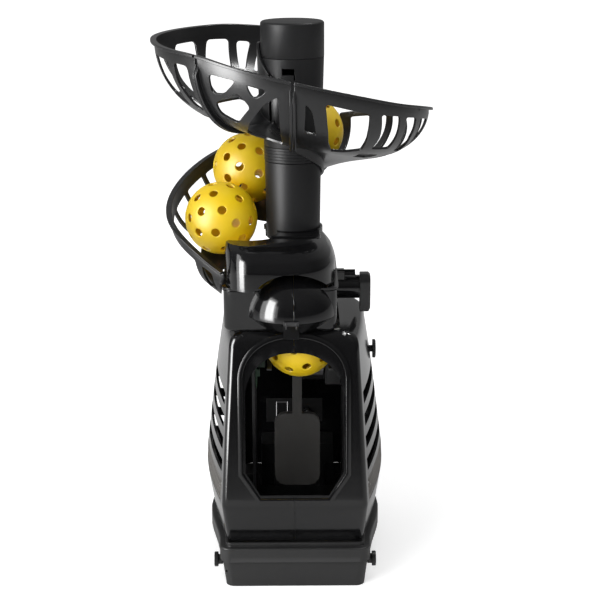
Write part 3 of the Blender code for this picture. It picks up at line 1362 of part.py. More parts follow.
def build_spring():
    """Torsion spring round the shaft, left of the hub."""
    points = []
    right = ARM_X - ARM_HUB_HALF - GAP - SPRING_WIRE
    for i in range(SPRING_TURNS * SPRING_SIDES + 1):
        turns = i / SPRING_SIDES
        angle = 2 * math.pi * turns
        points.append((right - SPRING_PITCH * turns, ARM_Y + SPRING_RADIUS * math.sin(angle),
                       ARM_PIVOT_Z - SPRING_RADIUS * math.cos(angle)))
    line = bpy.data.curves.new("arm_spring", "CURVE")
    line.dimensions = "3D"
    spline = line.splines.new("POLY")
    spline.points.add(len(points) - 1)
    for target, point in zip(spline.points, points):
        target.co = (*point, 1.0)
    line.bevel_depth = SPRING_WIRE
    line.bevel_resolution = 1
    line.use_fill_caps = True
    line.materials.append(STEEL)
    spring = bpy.data.objects.new("arm_spring", line)
    PARTS.objects.link(spring)
    print("arm spring: least gap between turns, mm:", round((SPRING_PITCH - 2 * SPRING_WIRE) / MM, 2))
    return spring


def build_finger(side, label):
    """Release finger that carries one side of the waiting ball."""
    x_ball, _, z_ball = BALL_PLACES["ball_5"]
    near = x_ball + side * FINGER_SPREAD
    far = x_ball + side * (FINGER_SPREAD + FINGER_WIDTH)
    low_x = min(near, far)
    high_x = max(near, far)
    top = z_ball - math.sqrt(BALL_RADIUS ** 2 - FINGER_SPREAD ** 2) - GAP
    heel = FINGER_PIVOT_Y + FINGER_BEHIND
    outline = ((FINGER_FRONT, top - FINGER_TIP), (FINGER_FRONT, top), (heel - FINGER_TIP, top),
               (heel, top - FINGER_BEVEL), (heel, top - FINGER_HEEL),
               (FINGER_PIVOT_Y - FINGER_TIP, top - FINGER_DEPTH),
               (FINGER_PIVOT_Y + FINGER_THROAT_Y, top - FINGER_THROAT))
    finger = skin("release_finger_" + label, [[(x, y, z) for y, z in outline] for x in (low_x, high_x)],
                  NYLON)
    bore = cylinder("finger bore " + label, (low_x - BITE, FINGER_PIVOT_Y, FINGER_PIVOT_Z),
                    (high_x + BITE, FINGER_PIVOT_Y, FINGER_PIVOT_Z), FINGER_PIN_RADIUS + GAP, sides=12)
    boolean(finger, bore)
    return centred(finger, (0.5 * (low_x + high_x), FINGER_PIVOT_Y, FINGER_PIVOT_Z))


# Battery box, door, rear panel, switch, inlet and board

def build_battery_box():
    foot = FRAME_FLOOR + FRAME_FLOOR_THICK + GAP
    left = BATTERY_X - BATTERY_HALF
    right = BATTERY_X + BATTERY_HALF
    case_front = BATTERY_FRONT + BATTERY_PROUD
    bar_back = BATTERY_FRONT + BATTERY_BAR_DEPTH
    case = box("battery_box", (left, case_front, foot), (right, BATTERY_BACK, BATTERY_TOP), MATT_GREY)
    bar = box("battery bar", (left, BATTERY_FRONT, BATTERY_TOP - BATTERY_BAND),
              (right, bar_back, BATTERY_TOP))
    boolean(case, bar, "UNION")
    for number, x in enumerate(BATTERY_RIBS):
        rib = box("battery rib %d" % number, (x - BATTERY_RIB_HALF, BATTERY_FRONT, foot),
                  (x + BATTERY_RIB_HALF, bar_back, BATTERY_TOP - BITE))
        boolean(case, rib, "UNION")
    hollow = box("battery hollow",
                 (left + BATTERY_WALL, case_front + BATTERY_FRONT_WALL, foot + BATTERY_WALL),
                 (right - BATTERY_WALL, BATTERY_BACK + BITE, BATTERY_TOP - BATTERY_WALL))
    boolean(case, hollow)
    return case


def build_rear():
    front = HOUSING_BACK - DOOR_THICK - REAR_SINK
    face = front + DOOR_THICK
    door = box("battery_door", (-DOOR_HALF + GAP, front, DOOR_BOTTOM + GAP),
               (DOOR_HALF - GAP, face, DOOR_TOP - GAP), GLOSS_BLACK)
    grip = box("door grip", (-GRIP_HALF, face - GRIP_DEPTH, DOOR_TOP - GRIP_BELOW),
               (GRIP_HALF, face + BITE, DOOR_TOP - GRIP_BELOW + GRIP_HEIGHT))
    boolean(door, grip)
    centred(door, (0.0, HOUSING_BACK, DOOR_BOTTOM + GAP))
    panel = box("rear_panel", (-PANEL_HALF + GAP, front, PANEL_BOTTOM + GAP),
                (PANEL_HALF - GAP, face, PANEL_TOP - GAP), MATT_GREY)
    middle = 0.5 * (PANEL_BOTTOM + PANEL_TOP)
    hole_x = SWITCH_HALF + GAP
    hole_z = SWITCH_TALL + SWITCH_FIT
    switch_hole = box("switch hole", (SWITCH_X - hole_x, front - BITE, middle - hole_z),
                      (SWITCH_X + hole_x, face + BITE, middle + hole_z))
    barrel = INLET_BORE + INLET_WALL
    inlet_hole = cylinder("inlet hole", (INLET_X, front - BITE, middle), (INLET_X, face + BITE, middle),
                          barrel + GAP, sides=20)
    boolean(panel, switch_hole)
    boolean(panel, inlet_hole)
    outline = ((-SWITCH_TALL, SWITCH_PROUD), (-SWITCH_TALL, -SWITCH_DEPTH - BITE),
               (SWITCH_TALL, -SWITCH_DEPTH - BITE), (SWITCH_TALL, SWITCH_PROUD),
               (0.0, SWITCH_PROUD - SWITCH_DIP))
    switch = skin("power_switch", [[(SWITCH_X + dx, face + y, middle + z) for z, y in outline]
                                   for dx in (-SWITCH_HALF, SWITCH_HALF)], SATIN_BLACK)
    centred(switch, (SWITCH_X, face - 0.5 * DOOR_THICK, middle))
    inlet = turned("charging_inlet", (
        (INLET_RADIUS, INLET_FLANGE),
        (INLET_RADIUS, 0.0),
        (barrel, 0.0),
        (barrel, -INLET_DEPTH),
        (INLET_PIN, -INLET_DEPTH),
        (INLET_PIN, -INLET_DEPTH + INLET_FLOOR),
        (INLET_BORE, -INLET_DEPTH + INLET_FLOOR),
        (INLET_BORE, INLET_FLANGE),
    ), SATIN_BLACK, steps=10)
    inlet.location = (INLET_X, face + GAP, middle)
    inlet.rotation_euler = (math.radians(-90), 0.0, 0.0)
    return door, panel, switch, inlet


def build_board():
    x = PLATE_LEFT + PLATE_THICK + GAP
    front, bottom, back, top = BOARD_AREA
    board = box("control_board", (x, front, bottom), (x + BOARD_THICK, back, top), BOARD_GREEN)
    for number, (y, z, size, tall) in enumerate(BOARD_CHIPS):
        half = 0.5 * size
        chip = box("board component %d" % number, (x + 0.5 * BOARD_THICK, y - half, z - half),
                   (x + BOARD_THICK + tall, y + half, z + half))
        boolean(board, chip, "UNION")
    return board


# Side knob and lever

def build_side_knob():
    knob = turned("speed_knob", (
        (0.0, SIDE_KNOB_HEIGHT),
        (SIDE_KNOB_RADIUS - KNOB_EDGE, SIDE_KNOB_HEIGHT),
        (SIDE_KNOB_RADIUS, SIDE_KNOB_HEIGHT - KNOB_EDGE),
        (SIDE_KNOB_RADIUS, 0.0),
        (SIDE_KNOB_STEM, 0.0),
        (SIDE_KNOB_STEM, -SIDE_KNOB_DEPTH),
        (0.0, -SIDE_KNOB_DEPTH),
    ), SATIN_BLACK, steps=16, closed=False)
    knob.location = (SIDE_KNOB_X, WIDEST_Y, SIDE_KNOB_Z)
    knob.rotation_euler = (0.0, math.radians(90), 0.0)
    return knob


def build_lever():
    """Drum on the right of the head, and the lever that turns on its end."""
    start = HEAD_RIGHT + GAP
    drum = cylinder("tension_drum", (start, LEVER_Y, LEVER_Z), (DRUM_END, LEVER_Y, LEVER_Z),
                    DRUM_RADIUS, GLOSS_BLACK, sides=DRUM_SIDES)
    bracket = box("drum bracket", (start, LEVER_Y - BRACKET_FRONT, LEVER_Z + BRACKET_LOW),
                  (start + BRACKET_LENGTH, LEVER_Y + BRACKET_BACK, LEVER_Z + BRACKET_HIGH))
    boolean(drum, bracket, "UNION")
    pin_hole = cylinder("drum hole", (DRUM_END - LEVER_PIN_LENGTH - BITE, LEVER_Y, LEVER_Z),
                        (DRUM_END + BITE, LEVER_Y, LEVER_Z), LEVER_PIN + GAP, sides=16)
    boolean(drum, pin_hole)
    x = DRUM_END + GAP
    low, high = LEVER_BELLY
    half = ((LEVER_FOOT_HALF, -LEVER_DOWN), (LEVER_HALF, low), (LEVER_HALF, high),
            (LEVER_TOP_HALF, LEVER_UP))
    outline = half + tuple((-y, z) for y, z in reversed(half))
    lever = skin("tension_lever", [[(x + dx, LEVER_Y + y, LEVER_Z + z) for y, z in outline]
                                   for dx in (0.0, LEVER_WIDTH)], SATIN_BLACK)
    pin = cylinder("lever pin", (DRUM_END - LEVER_PIN_LENGTH, LEVER_Y, LEVER_Z),
                   (x + BITE, LEVER_Y, LEVER_Z), LEVER_PIN, sides=16)
    boolean(lever, pin, "UNION")
    centred(lever, (x, LEVER_Y, LEVER_Z))
    return drum, lever


# Cutters that several pieces share

def socket_hole():
    """Stepped hole that the column's foot drops into."""
    wide = column_radius(HOOD_TOP) + COLUMN_FIT
    hole = cylinder("column hole", (0, 0, COLUMN_SEAT - GAP), (0, 0, HOOD_TOP + REACH), wide,
                    sides=COLUMN_SIDES)
    bore = cylinder("column bore", (0, 0, COLUMN_SEAT - REACH), (0, 0, COLUMN_SEAT),
                    COLUMN_FOOT_RADIUS - COLUMN_WALL, sides=COLUMN_SIDES)
    boolean(hole, bore, "UNION")
    return hole


def head_hollow():
    def ring(inset, z):
        inset += WALL
        return rounded_ring(HEAD_LEFT + inset, HEAD_RIGHT - inset, HEAD_FRONT + inset, HEAD_BACK - inset,
                            HEAD_CORNER - WALL, z)

    return skin("head hollow", (
        ring(HEAD_CHAMFER, ROOF_Z - HEAD_CHAMFER_RISE),
        ring(HEAD_CHAMFER, ROOF_Z + GAP),
        ring(0.0, ROOF_Z + GAP + HEAD_CHAMFER_RISE),
        ring(0.0, HEAD_TOP + REACH),
    ))


def head_cutters():
    """Bodies that shape the head, its dome and the hood."""
    third, fourth, fifth = (Vector(BALL_PLACES[name]) for name in ("ball_3", "ball_4", "ball_5"))
    channel = BALL_RADIUS + BALL_CLEARANCE
    beyond = third + CHANNEL_BEYOND * (third - fourth)
    socket_radius = COLUMN_FOOT_RADIUS + COLUMN_FIT + SOCKET_WALL
    return {
        "dome outside": dome_solid("dome outside", 0.0),
        "dome hollow": dome_solid("dome hollow", WALL),
        "dome clearance": dome_solid("dome clearance", -DOME_CLEARANCE),
        "hood arch": cylinder("hood arch", (0, HOOD_FRONT - REACH, DOME_Z), (0, DOME_Y, DOME_Z),
                              DOME_RADIUS + ARCH_CLEARANCE, sides=DOME_SIDES),
        "head hollow": head_hollow(),
        "drop channel": capsule("drop channel", (fourth, fifth), channel),
        "entry channel": capsule("entry channel", (fourth, third, beyond), channel),
        "hood hollow": hood_solid("hood hollow", WALL),
        "column socket": cylinder("column socket", (0, 0, COLUMN_SEAT - SOCKET_FLOOR),
                                  (0, 0, HOOD_TOP + SOCKET_FLOOR), socket_radius, sides=COLUMN_SIDES),
        "column hole": socket_hole(),
        "seam left": half_space(-1),
        "seam right": half_space(1),
    }


def head_surroundings():
    """Room that the lowest ramp segment leaves for the hood, its socket and the head."""
    around = hood_solid("hood clearance", -HOOD_CLEARANCE)
    grow = HEAD_CLEARANCE
    below = skin("head clearance", [
        rounded_ring(HEAD_LEFT - FLANGE - BITE, HEAD_RIGHT + grow, HEAD_FRONT - grow, HEAD_BACK + grow,
                     HEAD_CORNER, z) for z in (ROOF_Z - REACH, HEAD_TOP + FLANGE)])
    socket_radius = COLUMN_FOOT_RADIUS + COLUMN_FIT + SOCKET_WALL + 2 * GAP
    socket = cylinder("socket clearance", (0, 0, COLUMN_SEAT), (0, 0, HOOD_TOP + 2 * SOCKET_FLOOR),
                      socket_radius)
    boolean(around, socket, "UNION")
    boolean(around, below, "UNION")
    return around


def shaft_hole(label, left, y, z, radius):
    return cylinder(label, (left - BITE, y, z), (PLATE_RIGHT + PLATE_THICK + BITE, y, z), radius + GAP,
                    sides=20)


def main():
    _, bolt_hole = build_base()
    build_tilt_frame(bolt_hole)

    housing_cutters = (
        window_cutter(),
        box("roof opening", (ROOF_LEFT, ROOF_FRONT, ROOF_Z - 2 * REACH),
            (ROOF_RIGHT, ROOF_BACK, ROOF_Z + REACH)),
        box("door opening", (-DOOR_HALF, HOUSING_BACK - REACH, DOOR_BOTTOM),
            (DOOR_HALF, HOUSING_BACK + REACH, DOOR_TOP)),
        box("rear panel opening", (-PANEL_HALF, HOUSING_BACK - REACH, PANEL_BOTTOM),
            (PANEL_HALF, HOUSING_BACK + REACH, PANEL_TOP)),
    )
    cutters = head_cutters()
    for side, label in ((-1, "left"), (1, "right")):
        build_tilt_knob(side, label)
        build_housing(side, label, housing_cutters)
        build_grille(side, label)
        build_head(side, label, cutters)
        build_finger(side, label)
    build_hood(cutters)
    build_catch()
    build_column()
    track_lower = build_ramps()[-1]
    boolean(track_lower, head_surroundings())
    build_balls()

    build_arm()
    build_spring()
    build_cam()
    build_gearbox()
    arm_hole = shaft_hole("arm shaft hole", PLATE_LEFT, ARM_Y, ARM_PIVOT_Z, ARM_SHAFT_RADIUS)
    cam_hole = shaft_hole("cam shaft hole", PLATE_RIGHT, CAM_Y, CAM_Z, CAM_SHAFT_RADIUS)
    build_mechanism_frame((arm_hole, cam_hole))
    right = PLATE_RIGHT + PLATE_THICK + SHAFT_END
    build_shaft("arm_shaft", ARM_Y, ARM_PIVOT_Z, ARM_SHAFT_RADIUS, PLATE_LEFT - SHAFT_END, right)
    build_shaft("cam_shaft", CAM_Y, CAM_Z, CAM_SHAFT_RADIUS, ARM_X + ARM_HUB_HALF - BITE, right)
    build_battery_box()
    build_rear()
    build_board()
    build_side_knob()
    build_lever()


main()
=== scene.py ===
"""Looks of a ball throwing machine for pickleball practice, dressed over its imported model.

Lengths are in metres, +Z is up, the window looks along -Y and the column stands over the origin.
"""
import math

import bmesh
import bpy
from mathutils import Matrix, Vector
from mathutils.geometry import delaunay_2d_cdt
from mathutils.kdtree import KDTree


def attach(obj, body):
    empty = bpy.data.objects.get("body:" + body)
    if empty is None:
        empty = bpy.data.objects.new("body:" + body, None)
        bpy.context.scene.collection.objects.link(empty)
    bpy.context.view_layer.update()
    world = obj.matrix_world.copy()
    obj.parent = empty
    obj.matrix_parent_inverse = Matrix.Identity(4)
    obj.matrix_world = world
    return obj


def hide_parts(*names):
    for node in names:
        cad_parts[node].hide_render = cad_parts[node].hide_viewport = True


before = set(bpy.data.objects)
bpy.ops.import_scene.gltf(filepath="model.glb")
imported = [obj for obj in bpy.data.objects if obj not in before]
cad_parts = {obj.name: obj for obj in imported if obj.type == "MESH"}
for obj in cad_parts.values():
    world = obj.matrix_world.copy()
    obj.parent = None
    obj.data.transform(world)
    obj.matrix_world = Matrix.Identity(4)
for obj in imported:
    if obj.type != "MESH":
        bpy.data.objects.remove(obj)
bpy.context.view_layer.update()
MM = 0.001

# ---------------------------------------------------------------- camera
# A long lens a little above the machine, square to its window, as in a catalogue picture.
CAMERA_PLACE = (0.0, -1.5, 0.7)
CAMERA_TILT = 16.0                      # degrees below the horizon
CAMERA_ROLL = -0.33
CAMERA_LENS = 90.9                      # millimetres, for a frame 36 mm wide
CAMERA_SHIFT = 6.3 / 600.0              # share of the frame
camera_data = bpy.data.cameras.new("camera")
camera_data.sensor_width = 36.0
camera_data.lens = CAMERA_LENS
camera_data.shift_x = CAMERA_SHIFT
camera = bpy.data.objects.new("camera", camera_data)
camera.location = CAMERA_PLACE
camera.rotation_euler = (Matrix.Rotation(math.radians(90.0 - CAMERA_TILT), 3, "X")
                         @ Matrix.Rotation(math.radians(CAMERA_ROLL), 3, "Z")).to_euler()
bpy.context.scene.collection.objects.link(camera)
bpy.context.scene.camera = camera
bpy.context.scene.view_settings.view_transform = "Standard"


# ---------------------------------------------------------------- studio
# White surroundings, a large softbox on the left, a small round lamp high on the right and a
# weaker strip for the column. Black gloss shows only what it mirrors, so the boxes that it
# mirrors are lamps of their own, which leave the matt colours alone.
class Signal:
    """The output of a shader node, worked with as a number."""

    def __init__(self, net, socket):
        self.net = net
        self.socket = socket

    def math(self, operation, *values):
        return self.net.node("Math", {"operation": operation}, dict(enumerate(values)))

    def __add__(self, other):
        return self.math("ADD", self, other)

    def __sub__(self, other):
        return self.math("SUBTRACT", self, other)

    def __rsub__(self, other):
        return self.math("SUBTRACT", other, self)

    def __mul__(self, other):
        return self.math("MULTIPLY", self, other)

    __radd__ = __add__
    __rmul__ = __mul__

    def over(self, low, high):
        """0 below low, 1 above high, eased between."""
        return self.net.node("MapRange", {"interpolation_type": "SMOOTHSTEP"},
                             {"Value": self, "From Min": low, "From Max": high}, "Result")


class Net:
    """The nodes of a material or of the world."""

    def __init__(self, tree):
        self.tree = tree
        tree.nodes.clear()

    def node(self, kind, settings=None, inputs=None, output=0):
        """Add a node: its settings first, then the values or links of its sockets."""
        made = self.tree.nodes.new("ShaderNode" + kind)
        for name, value in (settings or {}).items():
            setattr(made, name, value)
        for key, value in (inputs or {}).items():
            if isinstance(value, Signal):
                self.tree.links.new(value.socket, made.inputs[key])
            else:
                made.inputs[key].default_value = value
        return Signal(self, made.outputs[output] if len(made.outputs) else None)

    def blend(self, share, first, second):
        """Mix two colours, each a signal or a tuple."""
        return self.node("Mix", {"data_type": "RGBA"}, {0: share, 6: first, 7: second}, 2)


def lamp(name, place, aim, size, strength, mirrored=True, lights=True):
    """An area lamp; strength is what it gives on a white card turned to it at its aim."""
    data = bpy.data.lights.new(name, "AREA")
    distance = (Vector(aim) - Vector(place)).length
    data.energy = strength * math.pi ** 2 * distance ** 2
    if isinstance(size, tuple):
        data.shape = "RECTANGLE"
        data.size, data.size_y = size
    else:
        data.shape = "DISK"
        data.size = size
    thing = bpy.data.objects.new(name, data)
    bpy.context.scene.collection.objects.link(thing)
    thing.location = place
    thing.rotation_euler = (Vector(aim) - Vector(place)).to_track_quat("-Z", "Y").to_euler()
    thing.visible_camera = False
    thing.visible_glossy = mirrored
    thing.visible_diffuse = lights


MIDDLE = (0.0, 0.0, 0.3)
WHITE = (1.0, 1.0, 1.0, 1.0)
ROOM_LIGHT = 0.42                       # what the surroundings give to matt surfaces
lamp("key softbox", (-1.05, -1.2, 1.25), MIDDLE, (1.0, 1.4), 0.62, mirrored=False)
lamp("fill softbox", (1.1, -1.2, 1.0), MIDDLE, (1.0, 1.2), 0.12, mirrored=False)
lamp("top softbox", (0.1, 0.2, 1.9), MIDDLE, (1.2, 1.2), 0.25, mirrored=False)
# what the gloss mirrors
lamp("mirrored softbox", (-0.98, -0.70, 0.56), (0.0, -0.08, 0.56), (0.46, 0.95), 1.9, lights=False)
lamp("softbox rim", (-1.16, -0.66, 0.66), (0.0, -0.08, 0.66), (1.00, 1.30), 1.1, lights=False)
lamp("mirrored strip", (-1.25, -1.35, 0.62), (0.0, 0.0, 0.4), (0.55, 0.9), 0.12, lights=False)
lamp("mirrored round", (0.62, 0.20, 1.65), (0.0, -0.06, 0.3), 0.16, 0.50, lights=False)

world = bpy.data.worlds.new("studio")
bpy.context.scene.world = world
world.use_nodes = True
air = Net(world.node_tree)
toward = air.node("TexCoord", output="Generated")
way = air.node("SeparateXYZ", {}, {0: toward}, "Z")
depth = Signal(air, way.socket.node.outputs["Y"])
# the wall behind the camera is dark, the ceiling and the wall behind the machine are pale
mirrored = 0.03 + way.over(-0.1, 0.9) * 0.16 + (depth * 0.8 + way * 0.4).over(-0.1, 0.9) * 0.22
rays = air.node("LightPath", output="Is Camera Ray")
glossy = Signal(air, rays.socket.node.outputs["Is Glossy Ray"])
through = Signal(air, rays.socket.node.outputs["Is Transmission Ray"])
seen = rays.math("MAXIMUM", rays, through)
level = seen + (1.0 - seen) * (glossy * mirrored + (1.0 - glossy) * ROOM_LIGHT)
shade = air.node("Background", {}, {"Color": WHITE, "Strength": level})
air.node("OutputWorld", {}, {"Surface": shade})


# ---------------------------------------------------------------- floor
# A sheet of white paper that runs back to the horizon and keeps a soft contact shadow.
FLOOR_HALF = 15.0
PAPER = (0.86, 0.86, 0.86, 1.0)


def floor_sheet():
    bm = bmesh.new()
    bmesh.ops.create_grid(bm, x_segments=2, y_segments=2, size=FLOOR_HALF)
    mesh = bpy.data.meshes.new("floor")
    bm.to_mesh(mesh)
    bm.free()
    material = bpy.data.materials.new("white paper")
    material.use_nodes = True
    net = Net(material.node_tree)
    seen = net.node("LightPath", output="Is Camera Ray")
    place = net.node("TexCoord", output="Object")
    away = net.node("VectorMath", {"operation": "LENGTH"}, {0: place}, "Value")
    matt = net.node("BsdfDiffuse", {}, {"Color": PAPER})
    # the glow that the camera sees is weaker under the machine, where it keeps the contact shadow
    strength = seen * (0.52 + away.over(0.1, 1.0) * 0.26)
    glow = net.node("Emission", {}, {"Color": WHITE, "Strength": strength})
    net.node("OutputMaterial", {}, {"Surface": net.node("AddShader", {}, {0: matt, 1: glow})})
    mesh.materials.append(material)
    thing = bpy.data.objects.new("floor", mesh)
    bpy.context.scene.collection.objects.link(thing)
    thing.location = (0.0, 0.0, -0.2 * MM)


floor_sheet()


# ---------------------------------------------------------------- base tray
# Open tray that the machine stands on, moulded in matt dark grey plastic with a fine spark
# texture, slightly narrower at its foot and with a small drain hole at a front corner.
def mm(*lengths):
    """Lengths in millimetres as metres."""
    return tuple(length * MM for length in lengths)


class Finish(Net):
    """A Principled material whose detail is set in the object's own metres."""

    def __init__(self, name, **values):
        self.material = bpy.data.materials.new(name)
        self.material.use_nodes = True
        super().__init__(self.material.node_tree)
        self.place = self.node("TexCoord", output="Object")
        self.values = values

    def noise(self, size, detail=2.0, stretch=None):
        """Clouds of a size in metres, from 0 to 1."""
        place = self.place
        if stretch:
            place = self.node("Mapping", {}, {"Vector": place, "Scale": stretch})
        return self.node("TexNoise", {}, {"Vector": place, "Scale": 1.0 / size, "Detail": detail})

    def edges(self):
        """1 on outer edges, where handling wears the texture off and where a highlight is painted."""
        return self.node("NewGeometry", output="Pointiness").over(0.515, 0.60)

    def relief(self, height, depth, under=None):
        """Bump with a depth in metres."""
        values = {"Height": height, "Distance": depth, "Strength": 1.0}
        if under:
            values["Normal"] = under
        return self.node("Bump", {}, values)

    def finish(self, **links):
        shader = self.node("BsdfPrincipled", {}, {**self.values, **links})
        self.node("OutputMaterial", {}, {"Surface": shader})
        return self


def moulded(name, colour, roughness, grain, grain_depth, smudge, wave=0.0, rubbed=0.5, **values):
    """Injection moulded plastic: texture of the mould, flow clouds, faint smudges, and paler outer edges that
    are partly wear and partly a painted highlight.
    """
    made = Finish(name, **values)
    cloud = made.noise(38 * MM, 3.0)
    fine = made.noise(3.1 * MM, 4.0)
    speck = made.noise(grain, 3.0)
    rub = made.edges()
    share = cloud * 0.6 + fine * 0.4
    dark = tuple(0.78 * c for c in colour) + (1.0,)
    pale = tuple(1.22 * c for c in colour) + (1.0,)
    # paler tone on outer edges: partly wear, partly a painted highlight along them
    worn = tuple(c + rubbed * (0.03 + c) for c in colour) + (1.0,)
    tone = made.blend(rub * 0.7, made.blend(share, dark, pale), worn)
    normal = made.relief(speck, grain_depth)
    if wave:
        normal = made.relief(made.noise(16 * MM, 1.0), wave, normal)
    return made.finish(**{"Base Color": tone, "Normal": normal,
                          "Roughness": roughness + (cloud - 0.5) * smudge + (fine - 0.5) * 0.5 * smudge
                          + rub * 0.06})


matt_grey = moulded("matt grey moulding", (0.017, 0.017, 0.0173), 0.42, 0.55 * MM, 0.03 * MM, 0.10)


def rounded_ring(left, right, front, back, radius, z, steps=8):
    """A rectangle with round corners, anticlockwise from above."""
    points = []
    for x, y, start in ((right - radius, back - radius, 0), (left + radius, back - radius, 90),
                        (left + radius, front + radius, 180), (right - radius, front + radius, 270)):
        for i in range(steps + 1):
            turn = math.radians(start + 90 * i / steps)
            points.append((x + radius * math.cos(turn), y + radius * math.sin(turn), z))
    return points


def loft(bm, rings, closed=False):
    """Skin a row of closed rings of points, with a lid on each end or closed to a loop."""
    rows = [[bm.verts.new(point) for point in ring] for ring in rings]
    pairs = list(zip(rows, rows[1:]))
    if closed:
        pairs.append((rows[-1], rows[0]))
    for low, high in pairs:
        for i in range(len(low)):
            j = (i + 1) % len(low)
            bm.faces.new((low[i], low[j], high[j], high[i]))
    if not closed:
        bm.faces.new(list(reversed(rows[0])))
        bm.faces.new(rows[-1])


def thing_of(name, bm):
    """An object made of a bmesh, with its faces out and smooth."""
    bmesh.ops.recalc_face_normals(bm, faces=bm.faces)
    mesh = bpy.data.meshes.new(name)
    bm.to_mesh(mesh)
    bm.free()
    mesh.shade_smooth()
    made = bpy.data.objects.new(name, mesh)
    bpy.context.scene.collection.objects.link(made)
    return made


def skin(name, rings):
    """A closed solid through a row of rings."""
    bm = bmesh.new()
    loft(bm, rings)
    return thing_of(name, bm)


def block(name, low, high):
    """A box between two opposite corners."""
    centre = [(a + b) / 2 for a, b in zip(low, high)]
    size = [abs(b - a) for a, b in zip(low, high)]
    bm = bmesh.new()
    bmesh.ops.create_cube(bm, size=1.0, matrix=Matrix.Translation(centre) @ Matrix.Diagonal((*size, 1.0)))
    return thing_of(name, bm)


def rod(name, start, end, radius, sides=32):
    """A round bar from start to end."""
    axis = Vector(end) - Vector(start)
    matrix = Matrix.Translation(Vector(start) + axis / 2) @ axis.to_track_quat("Z", "Y").to_matrix().to_4x4()
    bm = bmesh.new()
    bmesh.ops.create_cone(bm, cap_ends=True, segments=sides, radius1=radius, radius2=radius,
                          depth=axis.length, matrix=matrix)
    return thing_of(name, bm)


def settled(made):
    """Work the modifiers of a thing into its mesh."""
    graph = bpy.context.evaluated_depsgraph_get()
    mesh = bpy.data.meshes.new_from_object(made.evaluated_get(graph))
    made.modifiers.clear()
    old = made.data
    made.data = mesh
    bpy.data.meshes.remove(old)
    return made


def carve(made, others, operation="DIFFERENCE"):
    """Cut or join a thing with others, which are used up."""
    for other in others:
        cut = made.modifiers.new(operation.lower(), "BOOLEAN")
        cut.operation = operation
        cut.solver = "EXACT"
        cut.object = other
    settled(made)
    for other in others:
        bpy.data.objects.remove(other)
    return made


def edged(made, width, segments=2, angle=35.0, clamp=True):
    """Round the sharp edges of a thing."""
    bevel = made.modifiers.new("rounded edges", "BEVEL")
    bevel.width = width
    bevel.segments = segments
    bevel.limit_method = "ANGLE"
    bevel.angle_limit = math.radians(angle)
    bevel.use_clamp_overlap = clamp
    bevel.harden_normals = True
    return made


def dress(made, finish, slot, body, *nodes):
    """Give a thing its finish and its body, in place of CAD nodes."""
    made.data.materials.clear()
    made.data.materials.append(finish.material)
    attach(made, body)
    if nodes:
        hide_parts(*nodes)


BASE_HALF, BASE_FRONT, BASE_BACK, BASE_HEIGHT = mm(73, -107, 113, 27)
BASE_LEAN, BASE_WALL, BASE_CORNER = mm(3, 3, 9)
DRAIN = Vector(mm(-69, -104, 15.5))
DRAIN_RADIUS = 1.6 * MM
DRAIN_REACH = Vector((9, 9, 0)) * MM
TILT_Y, TILT_Z = mm(-90, 22)            # axis of the tilt bolts
BOLT_REACH, BOLT_HOLE = mm(80, 3.3)


def bolt_hole():
    return rod("bolt hole", (-BOLT_REACH, TILT_Y, TILT_Z), (BOLT_REACH, TILT_Y, TILT_Z), BOLT_HOLE)


def base_tray():
    def ring(lean, inset, z):
        half = BASE_HALF - lean - inset
        return rounded_ring(-half, half, BASE_FRONT + inset, BASE_BACK - inset, BASE_CORNER - inset, z, 12)

    made = skin("base_tray_moulding", (
        ring(BASE_LEAN, 0.0, 0.0), ring(0.5 * BASE_LEAN, 0.0, 0.5 * (BASE_HEIGHT - BASE_LEAN)),
        ring(0.0, 0.0, BASE_HEIGHT - BASE_LEAN), ring(0.0, 0.0, BASE_HEIGHT),
        ring(0.0, BASE_WALL, BASE_HEIGHT), ring(0.0, BASE_WALL, BASE_HEIGHT - BASE_LEAN),
        ring(BASE_LEAN, BASE_WALL, BASE_WALL)))
    carve(made, [bolt_hole(), rod("drain hole", DRAIN - DRAIN_REACH, DRAIN + DRAIN_REACH, DRAIN_RADIUS, 20)])
    edged(made, 0.7 * MM, 3)
    dress(made, matt_grey, "matt_grey", "base", "base_tray")


base_tray()


# ---------------------------------------------------------------- tilting frame
# Skirt that hangs over the tray with a ledge for the housing. It swings on two bolts at the
# front, whose ears run down inside the tray.
SKIRT_PROUD, SKIRT_CORNER, FRAME_BOW = mm(3, 12, 13)
SKIRT_HALF = BASE_HALF + SKIRT_PROUD
SKIRT_FRONT = BASE_FRONT - SKIRT_PROUD
SKIRT_BACK = BASE_BACK + SKIRT_PROUD
# inset and height of the skirt's section: in, down, out, up and over the ledge
SKIRT_SECTION = ((2.7, 31), (2.7, 27.3), (0, 27.3), (0, 34), (0, 41), (1, 42), (6, 42), (6, 45.5),
                 (8.6, 45.5), (8.6, 33.5))
EAR_OUTER, EAR_THICK, EAR_HALF, EAR_LOW, EAR_HIGH = mm(66.4, 3, 7, 15, 32)


def bowed_ring(inset, z, steps=10, shares=12):
    """The skirt's outline, whose long sides swell out in the middle."""
    half = SKIRT_HALF - inset
    front = SKIRT_FRONT + inset
    back = SKIRT_BACK - inset
    radius = max(SKIRT_CORNER - inset, 2 * MM)
    corners = rounded_ring(-half, half, front, back, radius, z, steps)
    low = front + radius
    high = back - radius
    left = []
    for i in range(1, shares):
        share = i / shares
        swell = FRAME_BOW * math.sin(math.pi * share) ** 2
        left.append((-half - swell, high + (low - high) * share, z))
    right = [(-x, low + high - y, z) for x, y, z in left]
    count = steps + 1
    return corners[:2 * count] + left + corners[2 * count:] + right


